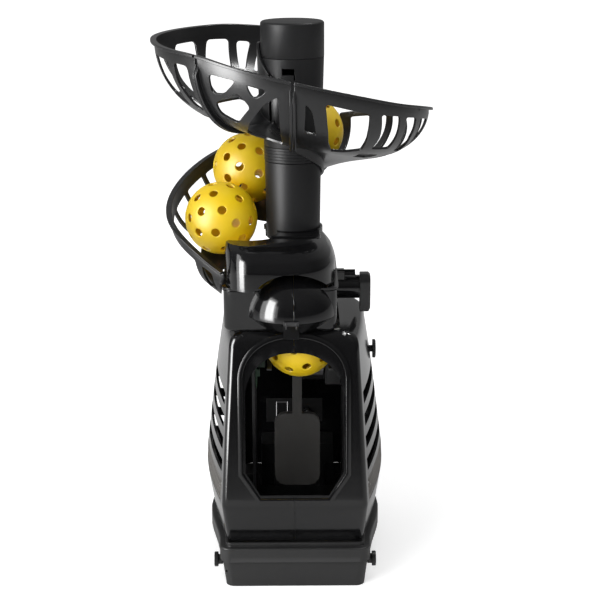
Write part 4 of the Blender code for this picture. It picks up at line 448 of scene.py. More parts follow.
def tilt_frame():
    made = skin("tilt_frame_moulding", [bowed_ring(*mm(*row)) for row in SKIRT_SECTION])
    ears = [block("ear", (side * EAR_OUTER, TILT_Y - EAR_HALF, EAR_LOW),
                  (side * (EAR_OUTER - EAR_THICK), TILT_Y + EAR_HALF, EAR_HIGH)) for side in (-1, 1)]
    carve(made, ears, "UNION")
    carve(made, [bolt_hole()])
    edged(made, 0.6 * MM, 3)
    dress(made, matt_grey, "matt_grey", "machine", "tilt_frame")


tilt_frame()


# ---------------------------------------------------------------- clamp knobs
# Two round hand nuts in satin black nylon with a fluted edge, on the tilt bolts.
satin_black = moulded("satin black moulding", (0.0105, 0.0105, 0.0112), 0.30, 0.8 * MM, 0.012 * MM, 0.10,
                      wave=0.05 * MM, rubbed=0.6)
KNOB_RADIUS, KNOB_FACE, KNOB_THICK, KNOB_DISH = mm(7.7, 78, 4, 3.2)
KNOB_NECK, KNOB_SHANK, KNOB_END, KNOB_BORE = mm(5, 3, 63, 0.6)
FLUTES = 14
FLUTE_DEPTH = 0.35 * MM
SIDES = ((-1, "left"), (1, "right"))


def lathe(bm, profile, sides, flute=None):
    """Spin (radius, height) points round Z; flute(angle, radius, height) may change a radius."""
    rings = []
    for radius, height in profile:
        ring = []
        for k in range(sides):
            turn = 2 * math.pi * k / sides
            r = flute(turn, radius, height) if flute else radius
            ring.append((r * math.cos(turn), r * math.sin(turn), height))
        rings.append(ring)
    loft(bm, rings)


def filleted(points, radius, steps=4, limit=25.0):
    """An open line of points with its corners rounded."""
    line = [Vector(points[0])]
    for before, corner, after in zip(points, points[1:], points[2:]):
        before, corner, after = Vector(before), Vector(corner), Vector(after)
        into = before - corner
        out = after - corner
        turn = math.degrees(math.pi - into.angle(out))
        if turn < limit:
            line.append(corner)
            continue
        reach = min(radius * math.tan(math.radians(turn) / 2), 0.45 * into.length, 0.45 * out.length)
        start = corner + into.normalized() * reach
        end = corner + out.normalized() * reach
        for i in range(steps + 1):
            t = i / steps
            line.append(start * (1 - t) ** 2 + corner * (2 * t * (1 - t)) + end * t ** 2)
    line.append(Vector(points[-1]))
    return line


def clamp_knob(side, label):
    def flute(turn, radius, height):
        if radius < KNOB_NECK or height < KNOB_FACE:
            return radius
        return radius - FLUTE_DEPTH * (1 - abs(math.sin(0.5 * FLUTES * turn))) * radius / KNOB_RADIUS

    top, dish, back = KNOB_FACE + KNOB_THICK, KNOB_FACE + KNOB_DISH, BASE_HALF + 0.3 * MM
    profile = filleted([(KNOB_BORE, dish), (3.6 * MM, dish), (4.4 * MM, top), (KNOB_RADIUS, top),
                        (KNOB_RADIUS, KNOB_FACE), (KNOB_NECK, KNOB_FACE), (KNOB_NECK, back),
                        (KNOB_SHANK, back), (KNOB_SHANK, KNOB_END), (KNOB_BORE, KNOB_END)], 0.7 * MM)
    bm = bmesh.new()
    lathe(bm, profile, 84, flute)
    made = thing_of("clamp_knob_" + label, bm)
    made.data.set_sharp_from_angle(angle=math.radians(50))
    made.data.transform(Matrix.Translation((0.0, TILT_Y, TILT_Z))
                        @ Matrix.Rotation(side * math.radians(90), 4, "Y"))
    dress(made, satin_black, "satin_black", label + "_tilt_knob", "tilt_knob_" + label)


for side, label in SIDES:
    clamp_knob(side, label)


# ---------------------------------------------------------------- housing
# Two gloss black shells that meet at the middle. The front leans back over a chin, the sides
# swell out to their widest place and have four louvres each and a hole for the grille. On the
# left the louvres run on behind a rib. A round bar, the collar, runs round the window.
gloss_black = moulded("gloss black moulding", (0.0055, 0.0055, 0.006), 0.12, 2.6 * MM, 0.0016 * MM, 0.07,
                      wave=0.035 * MM, rubbed=0.25)
HALF_GAP, WALL = mm(0.15, 2.6)
CREASE_Y, CREASE_Z, PANEL_TOP_Y, PANEL_TOP_Z = mm(-112, 88, -80, 257)
WIDEST_Y, HOUSING_BOTTOM, HOUSING_TOP = mm(38, 45.8, 246)
# height, front (or None on the leaning panel), half widths at the front, the widest place and the
# back, back, in millimetres
HOUSING_STATIONS = (
    (45.8, -97, 68.5, 87, 62, 112), (50, -98, 69.5, 88, 63, 112), (88, -112, 73, 94, 70, 112),
    (101, None, 72.3, 93.6, 71, 112), (130, None, 70.9, 90, 69.5, 112), (165, None, 69.1, 85.7, 66, 108),
    (205, None, 66.9, 80.5, 61, 102.5), (246, None, 64.5, 74, 56, 96),
)
# place up the flat pattern, height, inset
SHOULDER = [mm(*row) for row in ((246, 246, 0), (256, 252.5, 1.5), (264, 256.5, 5), (272, 259, 10),
                                 (280, 260, 16))]
PATTERN_TOP, CORNER, BACK_CORNER = mm(280, 7, 16)
# lengths in the flat pattern: front, corner, side to the widest place, side behind it, back corner, back
PATTERN_RUNS = mm(60, 36, 130, 62, 45, 46)
FRONT_PLAIN, BACK_PLAIN = mm(52, 38)    # parts of the front and back runs that keep their true length


def between(a, b, share):
    """The value at a share of the way from a to b."""
    return a + (b - a) * share


def from_rows(rows, value):
    """Straight interpolation in rows that start with the value they are listed by."""
    value = min(max(value, rows[0][0]), rows[-1][0])
    for low, high in zip(rows, rows[1:]):
        if value <= high[0]:
            share = (value - low[0]) / (high[0] - low[0])
            return [between(a, b, share) for a, b in zip(low, high)]
    return list(rows[-1])


def eased_rows(rows, value, reach):
    """The same with its kinks rounded over a reach to both sides."""
    picked = [from_rows(rows, value + reach * t) for t in (-1.0, -0.6, -0.2, 0.2, 0.6, 1.0)]
    return [sum(column) / len(picked) for column in zip(*picked)]


def panel_y(z):
    """Depth of the leaning front panel at a height."""
    return between(CREASE_Y, PANEL_TOP_Y, (z - CREASE_Z) / (PANEL_TOP_Z - CREASE_Z))


HOUSING_ROWS = [[panel_y(row[0] * MM) if item is None else item * MM for item in row]
                for row in HOUSING_STATIONS]


def housing_section(v):
    """Height, front, half widths and back at a place up the pattern."""
    if v <= HOUSING_TOP:
        _, front, half, widest, back_half, back = eased_rows(HOUSING_ROWS, v, 2.5 * MM)
        return v, front, half, widest, back_half, back
    _, z, inset = eased_rows(SHOULDER, v, 3 * MM)
    _, _, half, widest, back_half, back = eased_rows(HOUSING_ROWS, z, 2.5 * MM)
    return z, panel_y(z) + 0.35 * inset, half - inset, widest - inset, back_half - inset, back - inset


def seam_x(length, plain, run, end):
    """Distance from the seam: true to length in the plain part, stretched to the end behind it."""
    if length < plain:
        return HALF_GAP + length
    return between(HALF_GAP + plain, end, (length - plain) / (run - plain))


def housing_place(u, v):
    """The point of the right shell that a point of its flat pattern becomes."""
    z, front, half, widest, back_half, back = housing_section(v)
    runs = PATTERN_RUNS
    if u <= runs[0]:
        return seam_x(u, FRONT_PLAIN, runs[0], half - CORNER), front, z
    u -= runs[0]
    if u <= runs[1]:
        turn = math.radians(-90 + 90 * u / runs[1])
        return half - CORNER + CORNER * math.cos(turn), front + CORNER + CORNER * math.sin(turn), z
    u -= runs[1]
    if u <= runs[2]:
        share = u / runs[2]
        return widest - (widest - half) * (1 - share) ** 1.7, between(front + CORNER, WIDEST_Y, share), z
    u -= runs[2]
    if u <= runs[3]:
        share = u / runs[3]
        return widest - (widest - back_half) * share ** 1.8, between(WIDEST_Y, back - BACK_CORNER, share), z
    u -= runs[3]
    if u <= runs[4]:
        turn = math.radians(90 * u / runs[4])
        return (back_half - BACK_CORNER + BACK_CORNER * math.cos(turn),
                back - BACK_CORNER + BACK_CORNER * math.sin(turn), z)
    return seam_x(runs[5] - (u - runs[4]), BACK_PLAIN, runs[5], back_half - BACK_CORNER), back, z


def side_u(y, v):
    """Place along the pattern of a point of the side wall."""
    _, front, _, _, _, back = housing_section(v)
    start = PATTERN_RUNS[0] + PATTERN_RUNS[1]
    if y < WIDEST_Y:
        return start + PATTERN_RUNS[2] * (y - front - CORNER) / (WIDEST_Y - front - CORNER)
    return start + PATTERN_RUNS[2] + PATTERN_RUNS[3] * (y - WIDEST_Y) / (back - BACK_CORNER - WIDEST_Y)


def stepped(points, step):
    """An open line with points added so that none of its parts is longer than a step."""
    line = [Vector(points[0])]
    for a, b in zip(points, points[1:]):
        a, b = Vector(a), Vector(b)
        parts = max(1, math.ceil((b - a).length / step))
        line += [a.lerp(b, (i + 1) / parts) for i in range(parts)]
    return line


def softened(corners, size, steps=4):
    """A closed outline with round corners, anticlockwise."""
    if sum(a[0] * b[1] - b[0] * a[1] for a, b in zip(corners, corners[1:] + corners[:1])) < 0.0:
        corners = corners[::-1]
    outline = []
    count = len(corners)
    for i, corner in enumerate(corners):
        corner = Vector(corner)
        ways = [Vector(other) - corner for other in (corners[i - 1], corners[(i + 1) % count])]
        start, end = (corner + way * min(0.47, size / way.length) for way in ways)
        for k in range(steps + 1):
            t = k / steps
            outline.append(start * (1 - t) ** 2 + corner * (2 * t * (1 - t)) + end * t ** 2)
    return outline


def pierced(bm, edge, openings, folds, step, grid, place):
    """Cut a flat sheet with openings into small triangles and bend it into place."""
    points = []
    lines = []
    faces = []

    def add(line, closed):
        first = len(points)
        points.extend(Vector(p) for p in line)
        ids = list(range(first, len(points)))
        lines.extend(zip(ids, ids[1:]))
        if closed:
            faces.append(ids)
            lines.append((ids[-1], ids[0]))

    add(stepped(edge + edge[:1], step)[:-1], True)
    for opening in openings:
        add(stepped(opening + opening[:1], step)[:-1], True)
    for fold in folds:
        add(stepped(fold, step), False)
    tree = KDTree(len(points))
    for i, point in enumerate(points):
        tree.insert((*point, 0.0), i)
    tree.balance()
    low = [min(point[i] for point in edge) for i in (0, 1)]
    high = [max(point[i] for point in edge) for i in (0, 1)]
    rows = math.ceil((high[1] - low[1]) / (0.87 * grid))
    columns = math.ceil((high[0] - low[0]) / grid)
    for j in range(rows):
        for i in range(columns):
            point = Vector((low[0] + (i + 0.5 * (j % 2)) * grid, low[1] + (j + 0.5) * 0.87 * grid))
            if tree.find((*point, 0.0))[2] > 0.55 * grid:
                points.append(point)
    flat, _, cells, _, _, sources = delaunay_2d_cdt(points, lines, faces, 0, 1e-6)
    verts = [bm.verts.new(place(*point)) for point in flat]
    for cell, source in zip(cells, sources):
        if source == [0]:
            bm.faces.new([verts[i] for i in cell])
    bmesh.ops.delete(bm, geom=[v for v in bm.verts if not v.link_faces], context="VERTS")


def arch(half, top, spring, bottom, sill_half, chamfer_top, steps=24):
    """Right half of the window's outline from the top to the bottom, as (x, z)."""
    points = []
    for i in range(steps + 1):
        turn = math.radians(90 - 90 * i / steps)
        points.append((half * math.cos(turn) ** 0.9, spring + (top - spring) * math.sin(turn)))
    return points + [(half, chamfer_top), (sill_half, bottom)]


def walled(made, thickness, offset):
    """Give a sheet a thickness, inwards for an offset of -1."""
    wall = made.modifiers.new("wall", "SOLIDIFY")
    wall.thickness = thickness
    wall.offset = offset
    wall.use_even_offset = False
    return made


LOUVRES = [(125 + 22 * i) * MM for i in range(4)]
LOUVRE_HALF, LOUVRE_START, LOUVRE_RIB, LOUVRE_END, LOUVRE_FALL = mm(6.25, 13, 3, 84, 18)
GRILLE_FRONT, GRILLE_BACK, GRILLE_BOTTOM, GRILLE_TOP = mm(-97, 36, 90, 112)
WINDOW_HALF, WINDOW_TOP, WINDOW_SPRING, WINDOW_BOTTOM = mm(48.5, 239.5, 196, 99.5)
SILL_HALF, SILL_TOP = mm(34, 122)
SHELL_STEP, SHELL_GRID = mm(3.2, 5)                     # longest edge of an outline, pitch of the skin
REAR_HOLES = (mm(52, 80, 36), mm(95.5, 123.5, 31.5))    # door and rear panel: bottom, top, half width
SPEED_KNOB_Z, SPEED_KNOB_HOLE = mm(205, 3.9)
HOLE_CORNERS = 24                       # of the speed knob's hole
CREASE_FOLDS = (86.5 * MM, CREASE_Z, 89.5 * MM)
SHOULDER_FOLDS = mm(246, 251, 256, 261, 266, 272)
ROOF_LOW, ROOF_HIGH = mm(259.6, 259.9)                  # heights between which the roof's rim lies
ROOF_MIDDLE = mm(-1, 20)
ROOF_FRONT, ROOF_BACK = mm(-71, 24)                     # opening in the roof, under the head
ROOF_REACH = {-1: 36 * MM, 1: 46 * MM}                  # how far it goes to the left and right
# beyond these places the flat pattern's flaps overlap, and only their inner line bounds the roof
FLAP_FRONT, FLAP_BACK = mm(42.5, -74.05), mm(26.0, 80.65)


def louvre_slots(side, z):
    """Corners of a louvre's slots as (y, z): a level one, and on the left a falling one behind it."""
    slots = [((panel_y(z) + LOUVRE_START, z), (WIDEST_Y - 0.5 * LOUVRE_RIB, z))]
    if side < 0:
        slots.append(((WIDEST_Y + 0.5 * LOUVRE_RIB, z), (LOUVRE_END, z - LOUVRE_FALL)))
    return [[(ya, za - LOUVRE_HALF), (yb, zb - LOUVRE_HALF), (yb, zb + LOUVRE_HALF), (ya, za + LOUVRE_HALF)]
            for (ya, za), (yb, zb) in slots]


def roof_lid(bm, reach):
    """Close the right shell's roof up to the opening under the head."""
    mid_x, mid_y = ROOF_MIDDLE
    rim = [v for v in bm.verts if v.co.z > ROOF_LOW and v.is_boundary]
    seam = sorted((v for v in rim if v.co.x < HALF_GAP + 0.05 * MM), key=lambda v: v.co.y)
    ends = [[v for v in seam if v.co.y < mid_y][-1], [v for v in seam if v.co.y > mid_y][0]]
    roof = [v for v in rim if (v not in seam or v in ends)
            and not (v.co.x > FLAP_FRONT[0] and v.co.y < FLAP_FRONT[1])
            and not (v.co.x > FLAP_BACK[0] and v.co.y > FLAP_BACK[1])]
    roof.sort(key=lambda v: math.atan2(v.co.y - mid_y, v.co.x - mid_x))
    hole = [bm.verts.new((x, y, roof[0].co.z)) for x, y in (
        (HALF_GAP, ROOF_BACK), (reach, ROOF_BACK), (reach, ROOF_FRONT), (HALF_GAP, ROOF_FRONT))]
    lid = bm.faces.new(roof + hole)
    lid.normal_update()
    bmesh.ops.triangulate(bm, faces=[lid])


def housing_half(side, label):
    length = sum(PATTERN_RUNS)
    edge = [(0.0, HOUSING_BOTTOM), (length, HOUSING_BOTTOM)]
    for low, high, wide in REAR_HOLES:
        edge += [(length, low), (length - wide, low), (length - wide, high), (length, high)]
    edge += [(length, PATTERN_TOP), (0.0, PATTERN_TOP)]
    edge += arch(WINDOW_HALF, WINDOW_TOP, WINDOW_SPRING, WINDOW_BOTTOM, SILL_HALF, SILL_TOP)
    edge.append((0.0, WINDOW_BOTTOM))
    openings = []
    for slot in (slot for z in LOUVRES for slot in louvre_slots(side, z)):
        corners = stepped(slot + slot[:1], 12 * MM)[:-1]
        openings.append(softened([(side_u(y, v), v) for y, v in corners], 1.2 * MM, 2))
    hole = stepped([(GRILLE_FRONT, GRILLE_BOTTOM), (GRILLE_BACK, GRILLE_BOTTOM), (GRILLE_BACK, GRILLE_TOP),
                    (GRILLE_FRONT, GRILLE_TOP), (GRILLE_FRONT, GRILLE_BOTTOM)], 12 * MM)[:-1]
    openings.append(softened([(side_u(y, v), v) for y, v in hole], 1.0 * MM, 2))
    if side > 0:
        knob_u = side_u(WIDEST_Y, SPEED_KNOB_Z)
        turns = (2 * math.pi * k / HOLE_CORNERS for k in range(HOLE_CORNERS))
        openings.append([Vector((knob_u + SPEED_KNOB_HOLE * math.cos(t),
                                 SPEED_KNOB_Z + SPEED_KNOB_HOLE * math.sin(t))) for t in turns])
    folds = [[(0.0, v), (length, v)] for v in (*CREASE_FOLDS, *SHOULDER_FOLDS)]
    bm = bmesh.new()
    pierced(bm, edge, openings, folds, SHELL_STEP, SHELL_GRID, housing_place)
    roof_lid(bm, ROOF_REACH[side])
    if side < 0:
        bmesh.ops.scale(bm, verts=bm.verts, vec=(-1.0, 1.0, 1.0))
    made = walled(thing_of("housing_shell_" + label, bm), WALL, -1.0)
    settled(made)
    for v in made.data.vertices:
        v.co.z = min(v.co.z, ROOF_HIGH)
    edged(made, 0.5 * MM, 2, 42.0)
    dress(made, gloss_black, "gloss_black", "machine", "housing_" + label)


COLLAR_WIDTH, COLLAR_PROUD = mm(4.8, 3.0)
COLLAR_HALF, COLLAR_TOP, COLLAR_SPRING, COLLAR_BOTTOM = mm(51, 254.5, 214, 97)


def collar(side, label):
    """Half of the bar round the window, a rounded section swept along the arch."""
    def line(grow):
        points = arch(COLLAR_HALF + grow, COLLAR_TOP + grow, COLLAR_SPRING, COLLAR_BOTTOM - grow,
                      SILL_HALF + 0.4 * grow, SILL_TOP - 0.4 * grow, 30)
        points[0] = (HALF_GAP, points[0][1])
        return points + [(HALF_GAP, points[-1][1])]

    rings = []
    section = filleted([(0.0, 1.3), (0.0, -3.0), (0.55, -3.0), (1.0, -2.2), (1.0, 1.3)], 0.35, 3)
    for inner, outer in zip(line(0.0), line(COLLAR_WIDTH)):
        ring = []
        for across, out in section:
            x = between(inner[0], outer[0], across)
            z = between(inner[1], outer[1], across)
            ring.append((side * x, panel_y(z) + out * MM, z))
        rings.append(ring)
    made = edged(skin("window_collar_" + label, rings), 0.35 * MM, 3, 40.0)
    dress(made, gloss_black, "gloss_black", "machine", "housing_" + label)


for side, label in SIDES:
    housing_half(side, label)
    collar(side, label)


# ---------------------------------------------------------------- grilles
# Curved panels low in the sides, a dense crossed net moulded in matt grey brown plastic.
grille_grey = moulded("grille moulding", (0.075, 0.070, 0.064), 0.5, 0.6 * MM, 0.03 * MM, 0.12, rubbed=0.8)
GRILLE_GAP, GRILLE_FRAME, GRILLE_PITCH = mm(0.4, 1.2, 6.0)


def side_wall_x(y, z):
    """Outer half width of the housing at a depth and height."""
    return housing_place(side_u(y, z), z)[0]


def side_grille(side, label):
    """A frame and two layers of slanted bars that cross each other."""
    bm = bmesh.new()

    def bar(start, end, width, sink, thick):
        line = stepped([start, end], 6 * MM)
        across = Vector((start[1] - end[1], end[0] - start[0])).normalized() * 0.5 * width
        rings = []
        for point in line:
            ring = []
            for way, deep in ((-1, 0.0), (1, 0.0), (1, thick), (-1, thick)):
                y, z = point + across * way
                ring.append((side * (side_wall_x(y, z) - sink - deep), y, z))
            rings.append(ring)
        loft(bm, rings)

    front, back = GRILLE_FRONT + GRILLE_GAP, GRILLE_BACK - GRILLE_GAP
    low, high = GRILLE_BOTTOM + GRILLE_GAP, GRILLE_TOP - GRILLE_GAP
    for z in (low + GRILLE_FRAME, high - GRILLE_FRAME):
        bar((front, z), (back, z), 2 * GRILLE_FRAME, 0.2 * MM, GRILLE_FRAME)
    for y in (front + GRILLE_FRAME, back - GRILLE_FRAME):
        bar((y, low), (y, high), 2 * GRILLE_FRAME, 0.2 * MM, GRILLE_FRAME)
    tall = high - low
    for lean, sink in ((0.55, 0.5 * MM), (-0.55, 0.9 * MM)):
        start = front - abs(lean) * tall
        for i in range(int((back - front + 2 * abs(lean) * tall) / GRILLE_PITCH)):
            foot = start + i * GRILLE_PITCH
            ends = [(foot, low), (foot + lean * tall, high)]
            clipped = []
            for (ya, za), (yb, zb) in ((ends[0], ends[1]), (ends[1], ends[0])):
                edge = min(max(ya, front), back)
                share = (edge - ya) / (yb - ya)
                clipped.append((edge, za + (zb - za) * share))
            if abs(clipped[1][0] - clipped[0][0]) > 2 * MM and low - 1e-6 <= clipped[0][1] <= high + 1e-6:
                bar(clipped[0], clipped[1], 1.5 * MM, sink, 0.7 * MM)
    made = thing_of("grille_net_" + label, bm)
    made.data.set_sharp_from_angle(angle=math.radians(40))
    dress(made, grille_grey, "matt_grey", "machine", "side_grille_" + label)


for side, label in SIDES:
    side_grille(side, label)


# ---------------------------------------------------------------- head
# Gloss black box on the housing's roof, in two halves, with a dome at its front over the ball
# that waits. A flange round its top carries the hood.
HEAD_LEFT, HEAD_RIGHT, HEAD_FRONT, HEAD_BACK = mm(-69, 42.5, -80, 58)
HEAD_BOTTOM, HEAD_TOP, HEAD_CORNER, HEAD_FLANGE = mm(260.3, 305, 10, 1.6)
# how far the head's outline stands out, and its height above the bottom or below the top
HEAD_FOOT = (mm(-3, 0), mm(-1.2, 1.4), mm(0, 4))
HEAD_BEAD = (mm(0, -4.2), mm(0.8, -4.0), mm(0.8, -3.2), mm(0, -3.0))
DOME_X, DOME_Y, DOME_Z, DOME_RADIUS, DOME_FOOT = mm(-2.5, -62, 276, 45, 26)
BALL_RADIUS = 36.6 * MM
BALL_PLACES = {
    "ball_1": mm(16.3, 68.8, 433.0), "ball_2": mm(-46.5, 53.0, 398.0), "ball_3": mm(-72.8, -3.5, 357.8),
    "ball_4": mm(-29.0, -40.0, 304.6), "ball_5": mm(6.0, -41.0, 239.5),
}
CHANNEL = BALL_RADIUS + 1.2 * MM        # a ball's room
HEAD_HALF_GAP, HOLLOW_LOW, HOLLOW_HIGH = mm(0.03, 256, 315)


def dome(name, shrink, sides=96, steps=20):
    """Half ball on a cone that narrows to the housing's roof."""
    radius = DOME_RADIUS - shrink
    foot = DOME_FOOT - shrink
    low = HEAD_BOTTOM - DOME_Z + shrink
    profile = [(radius * math.cos(t), radius * math.sin(t))
               for t in (math.radians(89.0 - 89.0 * i / steps) for i in range(steps + 1))]
    profile += [(between(radius, foot, i / 4), low * i / 4) for i in (1, 2, 3, 4)]
    bm = bmesh.new()
    lathe(bm, profile, sides)
    bmesh.ops.translate(bm, verts=bm.verts, vec=(DOME_X, DOME_Y, DOME_Z))
    return thing_of(name, bm)


def channel(name, places, radius):
    """The room that a ball sweeps from place to place."""
    bm = bmesh.new()
    for place in places:
        bmesh.ops.create_uvsphere(bm, u_segments=56, v_segments=28, radius=radius,
                                  matrix=Matrix.Translation(place))
    hull = bmesh.ops.convex_hull(bm, input=bm.verts[:])
    bmesh.ops.delete(bm, geom=[v for v in hull["geom_interior"] if isinstance(v, bmesh.types.BMVert)],
                     context="VERTS")
    kept = set(hull["geom"])
    bmesh.ops.delete(bm, geom=[face for face in bm.faces if face not in kept], context="FACES")
    return thing_of(name, bm)


def head_ring(grow, z):
    return rounded_ring(HEAD_LEFT - grow, HEAD_RIGHT + grow, HEAD_FRONT - grow, HEAD_BACK + grow,
                        HEAD_CORNER + grow, z, 10)


def head_half(side, label):
    made = skin("head_shell_" + label, (
        *(head_ring(grow, HEAD_BOTTOM + rise) for grow, rise in HEAD_FOOT),
        *(head_ring(grow, HEAD_TOP + rise) for grow, rise in HEAD_BEAD),
        head_ring(0.0, HEAD_TOP - HEAD_FLANGE),
        head_ring(HEAD_FLANGE, HEAD_TOP - HEAD_FLANGE), head_ring(HEAD_FLANGE, HEAD_TOP)))
    carve(made, [dome("dome", 0.0)], "UNION")
    foot, rise = HEAD_FOOT[0][0], HEAD_FOOT[-1][1]
    inside = skin("hollow", (
        head_ring(foot - WALL, HOLLOW_LOW), head_ring(foot - WALL, HEAD_BOTTOM),
        head_ring(-WALL, HEAD_BOTTOM + rise), head_ring(-WALL, HOLLOW_HIGH)))
    fourth, fifth = (Vector(BALL_PLACES[name]) for name in ("ball_4", "ball_5"))
    carve(made, [inside, dome("hollow dome", WALL), channel("drop", (fourth, fifth), CHANNEL),
                 block("other half", (side * HEAD_HALF_GAP, -0.2, 0.0), (-side * 0.2, 0.2, 0.6))])
    edged(made, 0.25 * MM, 2, 40.0, clamp=False)
    dress(made, gloss_black, "gloss_black", "machine", "head_" + label)


for side, label in SIDES:
    head_half(side, label)


# ---------------------------------------------------------------- hood
# Gloss black cover over the turn of the balls, a dome on the right that runs on as a tube to the
# left, where a plane cuts it open for the balls. It arches over the head's dome in front and has
# a flat top with the socket of the column.
HOOD_X = 0.5 * (HEAD_LEFT + HEAD_RIGHT)
HOOD_HALF_X = 0.5 * (HEAD_RIGHT - HEAD_LEFT)
HOOD_Y, HOOD_HALF_Y, HOOD_BOTTOM, HOOD_TOP = mm(-25, 75, 305.3, 347)
HOOD_PROFILE = ((0.0, 1.0, 1.0), (0.46, 0.985, 0.985), (0.7, 0.92, 0.94), (0.88, 0.81, 0.87),
                (0.97, 0.7, 0.79), (1.0, 0.64, 0.74))        # height, width and depth as shares
HOOD_EASE = 0.035                                       # share of the height that rounds its kinks
HOOD_SQUARENESS, TUBE_SQUARENESS = 2.6, 5.0             # 2 is an ellipse, more is squarer
MOUTH = Vector(mm(-38.7, -7, 0))                        # the hood ends on the left at a plane through here
MOUTH_TURN = math.radians(28.3)
# left, right, front, back and corner of the flat top, then inset and height of its section
PLATFORM = mm(-44, 27, -46, 33, 9)
PLATFORM_SECTION = (mm(0, 343), mm(0, 347.6), mm(0.8, 348.4))
COLUMN_SEAT, SEAM_Z, CAP_BOTTOM, CAP_TOP = mm(338, 417, 520, 554.5)
SEAT_RADIUS, SEAM_RADIUS, CAP_RADIUS, COLUMN_BORE = mm(27, 28.2, 31.5, 24.2)
SOCKET_WALL, SOCKET_RISE, COLUMN_PLAY, DOME_PLAY, ARCH_PLAY = mm(2.8, 2.2, 0.4, 1.2, 1.6)


def column_radius(z):
    """Outer radius of the tapered column."""
    if z < SEAM_Z:
        return between(SEAT_RADIUS, SEAM_RADIUS, (z - COLUMN_SEAT) / (SEAM_Z - COLUMN_SEAT))
    return between(SEAM_RADIUS, CAP_RADIUS, min(1.0, (z - SEAM_Z) / (CAP_BOTTOM - SEAM_Z)))


def squared(value, squareness):
    """A sine or cosine eased so that the outline it draws fills its corners."""
    return math.copysign(abs(value) ** (2 / squareness), value)


def hood_form(name, shrink, sides=112, steps=26):
    """The hood's outer form: a dome on the right and in the middle, a tube on the left."""
    bottom = HOOD_BOTTOM - (1 * MM if shrink > 0 else 0.0)
    top = HOOD_TOP - shrink
    rings = []
    for i in range(steps + 1):
        share = math.sin(math.radians(90 * i / steps))
        _, wide, deep = eased_rows(HOOD_PROFILE, share, HOOD_EASE)
        half_x = HOOD_HALF_X * wide - shrink
        half_y = HOOD_HALF_Y * deep - shrink
        ring = []
        for k in range(sides):
            turn = 2 * math.pi * (k + 0.5) / sides
            c, s = math.cos(turn), math.sin(turn)
            across = (HOOD_HALF_X - shrink) * squared(c, TUBE_SQUARENESS) if c < 0 else (
                half_x * squared(c, HOOD_SQUARENESS))
            ring.append((HOOD_X + across, HOOD_Y + half_y * squared(s, HOOD_SQUARENESS),
                         between(bottom, top, share)))
        rings.append(ring)
    return skin(name, rings)


def hood():
    made = hood_form("hood_moulding", 0.0)
    socket = SEAT_RADIUS + SOCKET_WALL
    left, right, front, back, corner = PLATFORM
    platform = [rounded_ring(left + inset, right - inset, front + inset, back - inset, corner - inset, z, 8)
                for inset, z in PLATFORM_SECTION]
    carve(made, [hood_form("hollow", WALL)])
    carve(made, [rod("socket", (0, 0, COLUMN_SEAT - SOCKET_RISE), (0, 0, HOOD_TOP + SOCKET_RISE), socket, 96),
                 skin("platform", platform)], "UNION")
    third, fourth = (Vector(BALL_PLACES[name]) for name in ("ball_3", "ball_4"))
    wide = column_radius(HOOD_TOP) + COLUMN_PLAY
    away = Vector((-math.cos(MOUTH_TURN), math.sin(MOUTH_TURN), 0.0))
    along = 0.2 * away.cross((0.0, 0.0, 1.0))
    ways = (-along, along, along + 0.2 * away, 0.2 * away - along)
    mouth = skin("mouth", [[MOUTH + way + Vector((0.0, 0.0, z)) for way in ways] for z in (0.3, 0.4)])
    carve(made, [rod("column hole", (0, 0, COLUMN_SEAT - 0.3 * MM), (0, 0, HOOD_TOP + 10 * MM), wide, 96),
                 rod("column bore", (0, 0, COLUMN_SEAT - 10 * MM), (0, 0, COLUMN_SEAT), COLUMN_BORE, 96),
                 dome("dome room", -DOME_PLAY),
                 rod("arch", (DOME_X, -110 * MM, DOME_Z), (DOME_X, DOME_Y, DOME_Z),
                     DOME_RADIUS + ARCH_PLAY, 96),
                 mouth,
                 channel("entry", (fourth, third, third + 1.2 * (third - fourth)), CHANNEL)])
    edged(made, 0.45 * MM, 2, 40.0, clamp=False)
    dress(made, gloss_black, "gloss_black", "machine", "hood")


hood()


# ---------------------------------------------------------------- front catch
# Bent strap that holds the dome's rim down on the collar's top, satin black.
CATCH_THICK, CATCH_HALF, CATCH_RISE, CATCH_STAND, CATCH_TOE_Z = mm(2.6, 7.5, 3, 0.5, 254.3)
RIB_PLACE, RIB_HALF = mm(5, 0.6)


def front_catch():
    rim = DOME_Y - DOME_RADIUS - CATCH_STAND
    foot = DOME_Y - DOME_FOOT - CATCH_STAND
    toe = panel_y(CATCH_TOE_Z) - COLLAR_PROUD - 0.3 * MM
    face = rim - CATCH_THICK
    outline = [(face, DOME_Z + CATCH_RISE), (face, DOME_Z - 1 * MM), (foot - CATCH_THICK, 259 * MM),
               (toe - CATCH_THICK, CATCH_TOE_Z), (toe, CATCH_TOE_Z), (toe, 257.4 * MM), (foot, 260 * MM),
               (rim, DOME_Z), (rim, DOME_Z + CATCH_RISE)]
    made = skin("catch_strap", [[(x, y, z) for y, z in outline]
                                for x in (DOME_X - CATCH_HALF, DOME_X + CATCH_HALF)])
    ribs = [block("rib", (x - RIB_HALF, face - 0.5 * MM, DOME_Z - 4 * MM),
                  (x + RIB_HALF, face + 1.0 * MM, DOME_Z + 2.2 * MM))
            for x in (DOME_X - RIB_PLACE, DOME_X + RIB_PLACE)]
    carve(made, ribs, "UNION")
    edged(made, 0.5 * MM, 3, 30.0)
    dress(made, satin_black, "satin_black", "machine", "front_catch")


front_catch()


